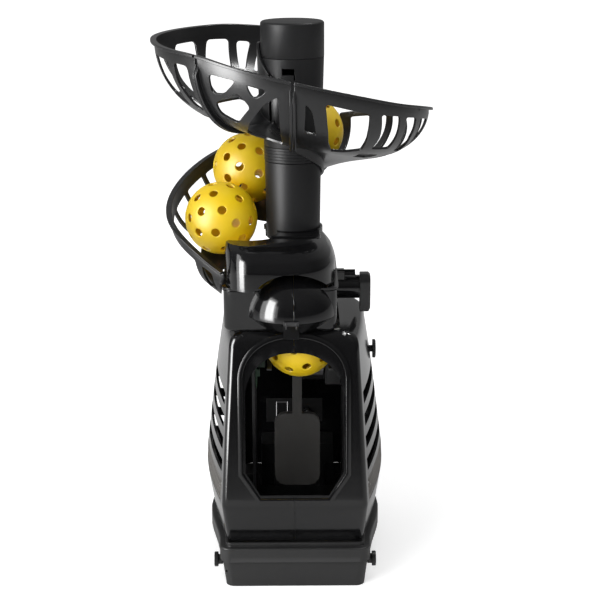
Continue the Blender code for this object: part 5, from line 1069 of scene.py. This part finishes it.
# ---------------------------------------------------------------- column
# Tapered tubes in satin dark grey: the foot in the hood's socket, a ribbed ring under the hopper,
# the upper tube with its hook slot, and a cap pressed into the top. The foot's plate stays bare.
column_grey = moulded("column moulding", (0.0165, 0.0165, 0.0172), 0.42, 0.6 * MM, 0.018 * MM, 0.08,
                      rubbed=0.7, **{"Specular IOR Level": 0.18})
COLUMN_SIDES = 128
JOIN = 0.3 * MM                         # gap between two pieces of the column
RING_HEIGHT, RING_RADIUS, GROOVE_RADIUS = mm(15, 28.7, 28.35)
RING_RIBS = 5
SPIGOT_DEPTH, SPIGOT_WALL, TUBE_BORE = mm(12, 2, 25.9)
CAP_EDGE, CAP_BORE, PLUG_RADIUS, PLUG_FOOT, PLUG_DEPTH = mm(2.6, 0.4, 25.6, 25.3, 10)


def tube(name, profile, radius=0.5 * MM):
    """A closed section spun round the column's axis."""
    rounded = filleted([profile[-1]] + profile + [profile[0]], radius, 3)[1:-1]
    bm = bmesh.new()
    rings = [[(r * math.cos(t), r * math.sin(t), z) for t in
              (2 * math.pi * k / COLUMN_SIDES for k in range(COLUMN_SIDES))] for r, z in rounded]
    loft(bm, rings, closed=True)
    made = thing_of(name, bm)
    made.data.set_sharp_from_angle(angle=math.radians(50))
    return made


def column():
    lower = tube("column_foot", [(SEAM_RADIUS, SEAM_Z - JOIN), mm(27.2, 350), (SEAT_RADIUS, COLUMN_SEAT),
                                 (COLUMN_BORE, COLUMN_SEAT), (COLUMN_BORE, SEAM_Z - JOIN)])
    dress(lower, column_grey, "column_grey", "machine", "column_lower")
    ring_top = SEAM_Z + RING_HEIGHT
    ring = []
    pitch = 14.7 * MM / RING_RIBS
    for i in range(RING_RIBS):
        z = ring_top - JOIN - pitch * i
        ring += [(RING_RADIUS, z), (RING_RADIUS, z - pitch + 0.5 * MM),
                 (GROOVE_RADIUS, z - pitch + 0.25 * MM)]
    hub = tube("column_hub", ring + [(COLUMN_BORE, SEAM_Z), (COLUMN_BORE, ring_top - JOIN)], 0.15 * MM)
    dress(hub, column_grey, "column_grey", "machine", "column_ring")
    spigot = COLUMN_BORE - JOIN
    upper = tube("column_tube", [
        (column_radius(CAP_BOTTOM) - 0.1 * MM, CAP_BOTTOM - JOIN), (column_radius(ring_top), ring_top),
        (spigot, ring_top), (spigot, SEAM_Z - SPIGOT_DEPTH), (spigot - SPIGOT_WALL, SEAM_Z - SPIGOT_DEPTH),
        (spigot - SPIGOT_WALL, ring_top + 2 * MM), (TUBE_BORE, CAP_BOTTOM - JOIN)])
    carve(upper, [block("hook slot", mm(-10, -40, 504.5), mm(2, -20, 511)),
                  block("hook tail", mm(1.2, -40, 499.5), mm(2.6, -20, 504.9)),
                  block("left slot", mm(-40, -9, 508), mm(-20, -4, 511))])
    edged(upper, 0.25 * MM, 2, 45.0, clamp=False)
    dress(upper, column_grey, "column_grey", "machine", "column_upper")
    top = CAP_TOP - 0.1 * MM
    flat = CAP_RADIUS - CAP_EDGE
    profile = [(CAP_BORE, top), (flat, top)]
    profile += [(flat + CAP_EDGE * math.sin(t), top - CAP_EDGE + CAP_EDGE * math.cos(t))
                for t in (math.radians(15 * i) for i in range(1, 7))]
    profile += [(CAP_RADIUS, CAP_BOTTOM + 0.5 * MM), (CAP_RADIUS - 0.4 * MM, CAP_BOTTOM),
                (PLUG_RADIUS, CAP_BOTTOM), (PLUG_FOOT, CAP_BOTTOM - PLUG_DEPTH),
                (CAP_BORE, CAP_BOTTOM - PLUG_DEPTH)]
    bm = bmesh.new()
    lathe(bm, profile, COLUMN_SIDES)
    cap = thing_of("column_lid", bm)
    cap.data.set_sharp_from_angle(angle=math.radians(50))
    dress(cap, column_grey, "column_grey", "machine", "column_cap")


column()


# ---------------------------------------------------------------- spiral ramp
# Four moulded segments in satin black, each a trough with cast openings, a rim lip and a flange
# at each end. The upper two form the hopper, and a wall of theirs goes up round the column.
RIM_LIP, BALL_PATH, FLANGE_WIDTH, COLUMN_CLEAR = mm(5, 70, 6, 0.8)
# in the flat pattern: length for a degree, widths of floor and wall
DEGREE, FLOOR_WIDTH, WALL_WIDTH = mm(2, 40, 100)
RAMP_STEP, RAMP_GRID, FLOOR_FALL = mm(3.4, 4.6, 1.5)
RAMP_EASE = 7.0                         # degrees that round the kinks of the stations
# angle in degrees (0 front, 90 right, 180 back), then rim radius, rim height and floor height
RAMP_STATIONS = [(angle, *mm(*lengths)) for angle, *lengths in (
    (-178, 139, 534, 474), (-150, 139, 540.5, 473), (-90, 139, 539.5, 470), (-41, 139, 534.5, 459),
    (0, 139, 513, 444), (45, 139, 487, 430), (90, 139, 468, 418), (130, 138.5, 453.5, 406.5),
    (158, 137, 444.5, 396.1), (222, 130, 406.5, 354.3), (251, 129, 383, 329), (270, 129, 368.5, 315.2),
    (286, 127, 357, 301.5), (297, 120, 345, 292), (311, 106, 325, 284), (318, 101, 316, 280))]
JOINTS = (-178.0, -41.0, 0.0, 158.0, 317.0)
# angle, then height of the hopper's wall round the column; the track has a collar that hangs down
CUP_HEIGHTS = ((-178.0, 58.0 * MM), (-90.0, 65.0 * MM), (-41.0, 48.0 * MM), (0.0, 20.0 * MM))
COLLAR_DROP = -12 * MM
FLANGE_END, FLANGE_ROOT = 1.86, 1.94    # rows up the wall where the flanges end
# openings by their corners: angle, and 0..1 across the floor, 1..2 up the wall
SEGMENTS = {
    "hopper_back": (
        ((-166, 1.84), (-175, 1.84), (-175, 1.5), (-159.5, 1.48)),
        ((-153.7, 1.84), (-160.8, 1.835), (-155.4, 1.52), (-152, 1.52)),
        ((-137.8, 1.87), (-149.9, 1.86), (-147.8, 1.56), (-144.5, 1.33), (-134, 1.18), (-122.5, 1.2),
         (-129, 1.45), (-134.5, 1.69)),
        ((-115.5, 1.87), (-130.5, 1.87), (-129.8, 1.72), (-122, 1.48), (-114, 1.3), (-104, 1.32),
         (-107, 1.55)),
        ((-83, 1.9), (-100, 1.885), (-101.5, 1.55), (-99, 1.4), (-81, 1.48)),
        ((-60.5, 1.9), (-78, 1.9), (-75, 1.52), (-57, 1.47)),
        ((-46, 1.9), (-55.5, 1.9), (-56, 1.72), (-51, 1.48), (-46, 1.46)),
        ((-150.3, 1.31), (-158, 1.2), (-153.5, 1.02), (-141.5, 0.7), (-136.5, 0.8), (-142.5, 1.08)),
        ((-130, 1.0), (-104, 1.08), (-80, 1.02), (-54, 0.98), (-50, 0.8), (-66, 0.36), (-93, 0.24),
         (-120, 0.36)),
        ((-95, 1.33), (-80, 1.38), (-62, 1.37), (-70, 1.15), (-88, 1.17)),
        ((-57, 1.36), (-46, 1.34), (-46, 1.13), (-62, 1.13)),
    ),
    "hopper_front": (
        ((-35.5, 1.885), (-23.2, 1.9), (-24.3, 1.86), (-29.3, 1.75), (-35.5, 1.72)),
        ((-18.5, 1.895), (-9.5, 1.89), (-12.8, 1.815), (-15.8, 1.785)),
        ((-35.5, 1.62), (-31, 1.69), (-22.3, 1.8), (-17.5, 1.69), (-27.2, 1.44), (-35.5, 1.5)),
        ((-11.3, 1.75), (-5, 1.86), (-5, 1.12), (-20, 1.08), (-26.5, 1.25), (-20, 1.49)),
    ),
    "track_upper": (
        ((4.5, 1.84), (7.2, 1.78), (10, 1.52), (4.5, 1.53)),
        ((12.5, 1.87), (32, 1.85), (34, 1.62), (37.3, 1.37), (29.5, 1.27), (22, 1.24), (17, 1.42),
         (14, 1.68)),
        ((38, 1.865), (48.5, 1.875), (51, 1.7), (55, 1.43), (42.6, 1.41), (41.5, 1.6)),
        ((53.3, 1.87), (61.6, 1.875), (66, 1.62), (78, 1.37), (65.5, 1.39), (57.5, 1.6)),
        ((66.5, 1.87), (79, 1.87), (84.5, 1.6), (88, 1.38), (82.5, 1.37), (72, 1.6)),
        ((83.5, 1.88), (101.5, 1.89), (96, 1.6), (92.5, 1.38), (89, 1.6)),
        ((106, 1.89), (119, 1.9), (110, 1.6), (101, 1.37), (97, 1.38), (100.5, 1.6)),
        ((122.5, 1.91), (128.6, 1.92), (125.5, 1.6), (122, 1.39), (114, 1.38), (117, 1.6)),
        ((132.2, 1.93), (138, 1.935), (136.5, 1.6), (134.5, 1.39), (128.5, 1.4)),
        ((142.2, 1.94), (152.5, 1.94), (150, 1.39), (139, 1.39)),
        ((40, 1.28), (57, 1.28), (60, 1.1), (45, 1.1)),
        ((70, 1.28), (92, 1.28), (92, 1.1), (73, 1.1)),
    ),
    "track_lower": (
        *(((left, 1.84), (left + 13.1, 1.84), (left + 9.1, 1.3), (left - 4.0, 1.3))
          for left in (169.25 + 15.6 * k for k in range(6))),
        ((262.9, 1.84), (300, 1.84), (298, 1.3), (258.9, 1.3)),
        ((304, 1.84), (309.5, 1.84), (309.5, 1.45), (302.5, 1.45)),
    ),
}


def round_column(radius, z, theta, shift):
    """The point at an angle, radius and height, moved sideways by a shift."""
    turn = math.radians(theta)
    return (radius * math.sin(turn) + shift * math.cos(turn),
            -radius * math.cos(turn) + shift * math.sin(turn), z)


def ramp_point(theta, row, shift=0.0, outward=0.0):
    """A point of the trough's middle surface.

    row 0..1 runs out along the floor, 1..2 up the curved wall and 2..3 across the lip.
    """
    _, rim, rim_z, floor = eased_rows(RAMP_STATIONS, theta, RAMP_EASE)
    rim_z -= 0.5 * WALL
    wall_radius = rim - RIM_LIP
    inner = column_radius(floor) + COLUMN_CLEAR + 0.5 * WALL
    if row <= 1.0:
        radius, z, normal = between(inner, BALL_PATH, row), floor - FLOOR_FALL * (1.0 - row), (0.0, -1.0)
    elif row <= 2.0:
        turn = math.radians(90 * (row - 1.0))
        radius = BALL_PATH + (wall_radius - BALL_PATH) * math.sin(turn)
        z = floor + (rim_z - floor) * (1.0 - math.cos(turn))
        normal = (math.sin(turn), -math.cos(turn))
    else:
        radius, z = between(wall_radius, rim, row - 2.0), rim_z
        normal = (0.0, -1.0)
    return round_column(radius + normal[0] * outward, z + normal[1] * outward, theta, shift)


def pattern_height(row):
    """Height in the flat pattern of a row of the trough."""
    if row <= 1.0:
        return row * FLOOR_WIDTH
    if row <= 2.0:
        return FLOOR_WIDTH + (row - 1.0) * WALL_WIDTH
    return FLOOR_WIDTH + WALL_WIDTH + (row - 2.0) * RIM_LIP


def pattern_row(height):
    """Row of the trough at a height in the flat pattern."""
    if height <= FLOOR_WIDTH:
        return height / FLOOR_WIDTH
    if height <= FLOOR_WIDTH + WALL_WIDTH:
        return 1.0 + (height - FLOOR_WIDTH) / WALL_WIDTH
    return 2.0 + (height - FLOOR_WIDTH - WALL_WIDTH) / RIM_LIP


def ramp_segment(name, start, end, openings, corner):
    """Cut a segment from its flat pattern and wind it round the column."""
    length = (end - start) * DEGREE
    top = pattern_height(3.0)
    end_shift = 0.5 * WALL + HALF_GAP

    def place(along, across):
        inside = min(max(along, 0.0), length)
        theta = start + inside / DEGREE
        shift = end_shift * (1.0 - 2.0 * inside / length)
        if across < 0.0:
            rise = from_rows(CUP_HEIGHTS, theta)[1] if name.startswith("hopper") else COLLAR_DROP
            z = ramp_point(theta, 0.0)[2] + rise * across / -FLOOR_WIDTH
            return round_column(column_radius(z) + COLUMN_CLEAR + 0.5 * WALL, z, theta, shift)
        return ramp_point(theta, pattern_row(across), shift, abs(along - inside))

    flange_end, flange_root = pattern_height(FLANGE_END), pattern_height(FLANGE_ROOT)
    edge = [(-FLANGE_WIDTH, 0.0), (0.0, 0.0), (0.0, -FLOOR_WIDTH), (length, -FLOOR_WIDTH), (length, 0.0),
            (length + FLANGE_WIDTH, 0.0), (length + FLANGE_WIDTH, flange_end), (length, flange_root),
            (length, top), (0.0, top), (0.0, flange_root), (-FLANGE_WIDTH, flange_end)]
    wall_top = pattern_height(2.0)
    folds = [[(0.0, 0.0), (length, 0.0)], [(0.0, 0.0), (0.0, flange_root)],
             [(length, 0.0), (length, flange_root)], [(0.0, wall_top), (length, wall_top)]]
    outlines = [softened([((theta - start) * DEGREE, pattern_height(row)) for theta, row in opening],
                         corner, 5) for opening in openings]
    bm = bmesh.new()
    pierced(bm, edge, outlines, folds, RAMP_STEP, RAMP_GRID, place)
    return settled(walled(thing_of(name + "_moulding", bm), WALL, 0.0))


def head_room():
    """What the lowest segment leaves free for the hood, its socket and the head."""
    around = hood_form("hood room", -0.5 * MM, 48, 12)
    near, far, low, high, rise, radius = mm(2.6, 9, 250, 306.6, 4.4, 30.4)
    below = skin("head room", [rounded_ring(HEAD_LEFT - near, HEAD_RIGHT + far, HEAD_FRONT - far,
                                            HEAD_BACK + far, HEAD_CORNER, z) for z in (low, high)])
    socket = rod("socket room", (0, 0, COLUMN_SEAT), (0, 0, HOOD_TOP + rise), radius, 48)
    return carve(around, [socket, below], "UNION")


for (name, openings), start, end in zip(SEGMENTS.items(), JOINTS, JOINTS[1:]):
    corner = (4.5 if name.startswith("hopper") else 3.0) * MM
    segment = ramp_segment(name, start, end, openings, corner)
    if name == "track_lower":
        carve(segment, [head_room(), channel("fourth ball's room", (BALL_PLACES["ball_4"],), CHANNEL)])
    edged(segment, 0.5 * MM, 2, 40.0, clamp=False)
    dress(segment, satin_black, "satin_black", "machine", name)


# ---------------------------------------------------------------- balls
# Hollow practice balls moulded in bright yellow polyethylene, forty drilled holes with softly
# rounded rims.
BALL_DEEP, BALL_PALE = (0.95, 0.600, 0.003, 1.0), (1.0, 0.720, 0.006, 1.0)
# pale yellow of the hole rims: partly wear, partly a painted highlight on them
BALL_WORN = (1.0, 0.80, 0.06, 1.0)
BALL_RINGS = ((12.0, 10, 0.0), (42.0, 7, 12.0), (72.0, 3, 40.0))     # latitude, holes, turn
BALL_TURNS = ((0.0, 0.5, 0.0), (0.7, 1.4, 0.3), (1.4, 2.3, 0.6), (2.1, 3.2, 0.9), (2.8, 4.1, 1.2))
BALL_BODIES = ("first_ball", "second_ball", "third_ball", "fourth_ball", "fifth_ball")
HOLE_RADIUS, HOLE_SINK, BALL_WALL = mm(4.3, 0.35, 2.0)
HOLE_SIDES = 28
SKIN_POINTS = 1500                      # points of the skin, of which those near a hole are left out


def ball_yellow():
    made = Finish("yellow ball moulding")
    cloud = made.noise(14 * MM, 3.0)
    fine = made.noise(1.6 * MM, 3.0)
    rub = made.edges()
    # hole rims lighter: partly wear, partly a painted highlight
    tone = made.blend(rub * 0.5, made.blend(cloud, BALL_DEEP, BALL_PALE), BALL_WORN)
    normal = made.relief(fine, 0.03 * MM)
    return made.finish(**{"Base Color": tone, "Normal": normal, "Roughness": 0.46 + (cloud - 0.5) * 0.12})


yellow = ball_yellow()


def ball_moulding():
    """Skin between the rims of all holes, each rim with a slightly sunk inner ring."""
    bm = bmesh.new()
    holes = []
    for hemisphere in (1, -1):
        for latitude, count, turn in BALL_RINGS:
            for k in range(count):
                longitude = math.radians(360 * (k + (0.5 if hemisphere < 0 else 0.0)) / count + turn)
                height = math.radians(latitude) * hemisphere
                holes.append(Vector((math.cos(height) * math.cos(longitude),
                                     math.cos(height) * math.sin(longitude), math.sin(height))))
    inner = {}
    for number, axis in enumerate(holes):
        turn = axis.to_track_quat("Z", "Y").to_matrix()
        for grow, sink in ((0.0, True), (0.45 * MM, False), (1.4 * MM, False)):
            radius = HOLE_RADIUS + grow
            depth = math.sqrt(BALL_RADIUS ** 2 - radius ** 2)
            for k in range(HOLE_SIDES):
                t = 2 * math.pi * k / HOLE_SIDES
                vert = bm.verts.new(turn @ Vector((radius * math.cos(t), radius * math.sin(t), depth)))
                if sink:
                    inner[vert] = number
    clear = math.cos((HOLE_RADIUS + 2.4 * MM) / BALL_RADIUS)
    for i in range(SKIN_POINTS):
        height = 1 - 2 * (i + 0.5) / SKIN_POINTS
        turn = math.pi * (1 + math.sqrt(5)) * i
        flat = math.sqrt(1 - height * height)
        way = Vector((flat * math.cos(turn), flat * math.sin(turn), height))
        if max(way.dot(axis) for axis in holes) < clear:
            bm.verts.new(way * BALL_RADIUS)
    bmesh.ops.convex_hull(bm, input=bm.verts[:])
    lids = [face for face in bm.faces if len({inner.get(v, -1) for v in face.verts}) == 1
            and face.verts[0] in inner]
    bmesh.ops.delete(bm, geom=lids, context="FACES_ONLY")
    bmesh.ops.delete(bm, geom=[edge for edge in bm.edges if not edge.link_faces], context="EDGES")
    for vert in inner:
        vert.co *= 1 - HOLE_SINK / BALL_RADIUS
    bmesh.ops.recalc_face_normals(bm, faces=bm.faces)
    mesh = bpy.data.meshes.new("perforated ball")
    bm.to_mesh(mesh)
    bm.free()
    mesh.shade_smooth()
    return mesh


ball_mesh = ball_moulding()
ball_mesh.materials.append(yellow.material)
for (name, place), turn, body in zip(BALL_PLACES.items(), BALL_TURNS, BALL_BODIES):
    made = bpy.data.objects.new(name + "_moulding", ball_mesh)
    bpy.context.scene.collection.objects.link(made)
    made.location = place
    made.rotation_euler = turn
    walled(made, BALL_WALL, -1.0)
    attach(made, body)
    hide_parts(name)


# ---------------------------------------------------------------- speed knob, tension drum, lever
# Round knob on the right side. On the right of the head a gloss drum under a bracket, and the
# lever that turns on the drum's end.
SPEED_KNOB_X = 83.4 * MM


def speed_knob():
    radius, height = mm(10, 3.4)

    def flute(turn, r, z):
        return r - 0.4 * MM * (1 - abs(math.sin(12 * turn))) if r > 9 * MM and z >= -0.1 * MM else r

    profile = filleted([(0.5 * MM, height - 0.7 * MM), (6.2 * MM, height - 0.7 * MM), (6.8 * MM, height),
                        (radius - 0.8 * MM, height), (radius, height - 0.8 * MM), (radius, 0.0),
                        mm(3.6, 0), mm(3.6, -7), mm(0.5, -7)], 0.3 * MM, 3)
    bm = bmesh.new()
    lathe(bm, profile, 144, flute)
    made = thing_of("speed_knob_moulding", bm)
    mark = block("pointer", (-0.5 * MM, 2.5 * MM, height - 1.2 * MM), (0.5 * MM, 9 * MM, height))
    carve(made, [mark], "UNION")
    made.data.set_sharp_from_angle(angle=math.radians(45))
    made.data.transform(Matrix.Translation((SPEED_KNOB_X, WIDEST_Y, SPEED_KNOB_Z))
                        @ Matrix.Rotation(math.radians(90), 4, "Y"))
    dress(made, satin_black, "satin_black", "side_knob", "speed_knob")


speed_knob()

LEVER_Y, LEVER_Z = mm(-10, 287)
DRUM_START, DRUM_END, DRUM_RADIUS = mm(42.7, 67, 12)
BARREL_LENGTH, BARREL_RISE, BARREL_RADIUS = mm(20, 13, 5.2)
PIN_RADIUS, PIN_GAP = mm(4, 0.3)
LEVER_HALF = (mm(8, -25), mm(10.5, -5), mm(10.5, 8), mm(6, 14.5))     # half of the lever's outline
LEVER_SECTION = ((0.0, 1.0), (8.8 * MM, 1.0), (10.8 * MM, 0.86))      # way out, size
GRIP_PITCH, GRIP_WIDTH, GRIP_LOW = mm(3.6, 1.6, 20)


def tension_drum():
    made = rod("tension_drum_moulding", (DRUM_START, LEVER_Y, LEVER_Z), (DRUM_END, LEVER_Y, LEVER_Z),
               DRUM_RADIUS, 72)
    parts = [rod("upper barrel", (DRUM_START - 0.5 * MM, LEVER_Y - 1 * MM, LEVER_Z + BARREL_RISE),
                 (DRUM_START + BARREL_LENGTH, LEVER_Y - 1 * MM, LEVER_Z + BARREL_RISE), BARREL_RADIUS, 48),
             block("web", (DRUM_START, LEVER_Y - 8 * MM, LEVER_Z + 6 * MM),
                   (DRUM_START + 9 * MM, LEVER_Y + 9 * MM, LEVER_Z + 17 * MM))]
    carve(made, parts, "UNION")
    carve(made, [rod("pin hole", (DRUM_END - 11 * MM, LEVER_Y, LEVER_Z),
                     (DRUM_END + 1 * MM, LEVER_Y, LEVER_Z), PIN_RADIUS + PIN_GAP)])
    edged(made, 0.5 * MM, 3, 40.0, clamp=False)
    dress(made, gloss_black, "gloss_black", "machine", "tension_drum")


def tension_lever():
    x = DRUM_END + PIN_GAP
    outline = softened([*LEVER_HALF, *((-y, z) for y, z in reversed(LEVER_HALF))], 2.0 * MM, 4)
    made = skin("tension_lever_moulding", [[(x + out, LEVER_Y + y * size, LEVER_Z + z * size)
                                            for y, z in outline] for out, size in LEVER_SECTION])
    carve(made, [rod("pin", (DRUM_END - 10 * MM, LEVER_Y, LEVER_Z), (x + 1 * MM, LEVER_Y, LEVER_Z),
                     PIN_RADIUS)], "UNION")
    grips = [block("grip", (x + 9.8 * MM, LEVER_Y - 5 * MM, z),
                   (x + 12 * MM, LEVER_Y + 5 * MM, z + GRIP_WIDTH))
             for z in (LEVER_Z - GRIP_LOW + GRIP_PITCH * i for i in range(4))]
    carve(made, grips)
    edged(made, 0.4 * MM, 2, 30.0, clamp=False)
    dress(made, satin_black, "satin_black", "lever", "tension_lever")


tension_drum()
tension_lever()


# ---------------------------------------------------------------- what is inside
# Paddle arm, shafts, spring, cam, gearbox, motor, plates, fingers, battery box, board and the
# small pieces of the back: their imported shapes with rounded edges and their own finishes.
def metal(name, colour, roughness, size):
    """Plated or drawn metal with a cloudy, finely scratched surface."""
    made = Finish(name, Metallic=1.0)
    cloud = made.noise(size, 4.0)
    scratch = made.noise(0.5 * MM, 2.0, (0.08, 1.0, 1.0))
    dark = tuple(0.8 * c for c in colour) + (1.0,)
    return made.finish(**{"Base Color": made.blend(cloud, dark, (*colour, 1.0)),
                          "Roughness": roughness + (cloud - 0.5) * 0.2,
                          "Normal": made.relief(scratch, 0.01 * MM)})


BLACK = (0.0, 0.0, 0.0, 1.0)
BOARD_DEEP, BOARD_PALE = (0.004, 0.030, 0.012, 1.0), (0.008, 0.055, 0.020, 1.0)
TRACK_GREEN = (0.02, 0.10, 0.04, 1.0)


def board_green():
    made = Finish("board lacquer")
    cloud = made.noise(5 * MM, 3.0)
    tracks = made.node("TexBrick", {"offset": 0.37, "squash": 1.0},
                       {"Vector": made.place, "Scale": 90.0, "Mortar Size": 0.06,
                        "Color1": BLACK, "Color2": BLACK, "Mortar": WHITE})
    tone = made.blend(tracks * 0.6, made.blend(cloud, BOARD_DEEP, BOARD_PALE), TRACK_GREEN)
    return made.finish(**{"Base Color": tone, "Roughness": 0.32 + cloud * 0.1,
                          "Normal": made.relief(tracks, 0.05 * MM)})


paddle_grey = moulded("paddle moulding", (0.055, 0.053, 0.050), 0.50, 0.5 * MM, 0.04 * MM, 0.10, rubbed=0.9)
zinc = metal("zinc plated steel", (0.62, 0.62, 0.60), 0.30, 6 * MM)
motor_can = metal("motor can", (0.42, 0.42, 0.44), 0.34, 9 * MM)
nylon = moulded("white nylon", (0.70, 0.69, 0.64), 0.42, 0.9 * MM, 0.02 * MM, 0.12, rubbed=0.1)
green = board_green()

CARRIED = {
    "throwing_arm": (paddle_grey, 0.8), "arm_shaft": (zinc, 0.4), "arm_spring": (zinc, 0.0),
    "drive_cam": (nylon, 0.5), "cam_shaft": (zinc, 0.3), "gearbox": (satin_black, 0.5),
    "drive_motor": (motor_can, 0.4), "mechanism_frame": (satin_black, 0.5),
    "release_finger_left": (satin_black, 0.6), "release_finger_right": (satin_black, 0.6),
    "battery_box": (satin_black, 0.6), "battery_door": (gloss_black, 0.4), "rear_panel": (matt_grey, 0.3),
    "power_switch": (satin_black, 0.4), "charging_inlet": (satin_black, 0.25), "control_board": (green, 0.2),
}
for name, (finish, rounding) in CARRIED.items():
    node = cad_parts[name]
    for slot in node.material_slots:
        slot.material = finish.material
    if rounding:
        weld = node.modifiers.new("joined corners", "WELD")
        weld.merge_threshold = 0.01 * MM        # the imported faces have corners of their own
        edged(node, rounding * MM, 2, 30.0)
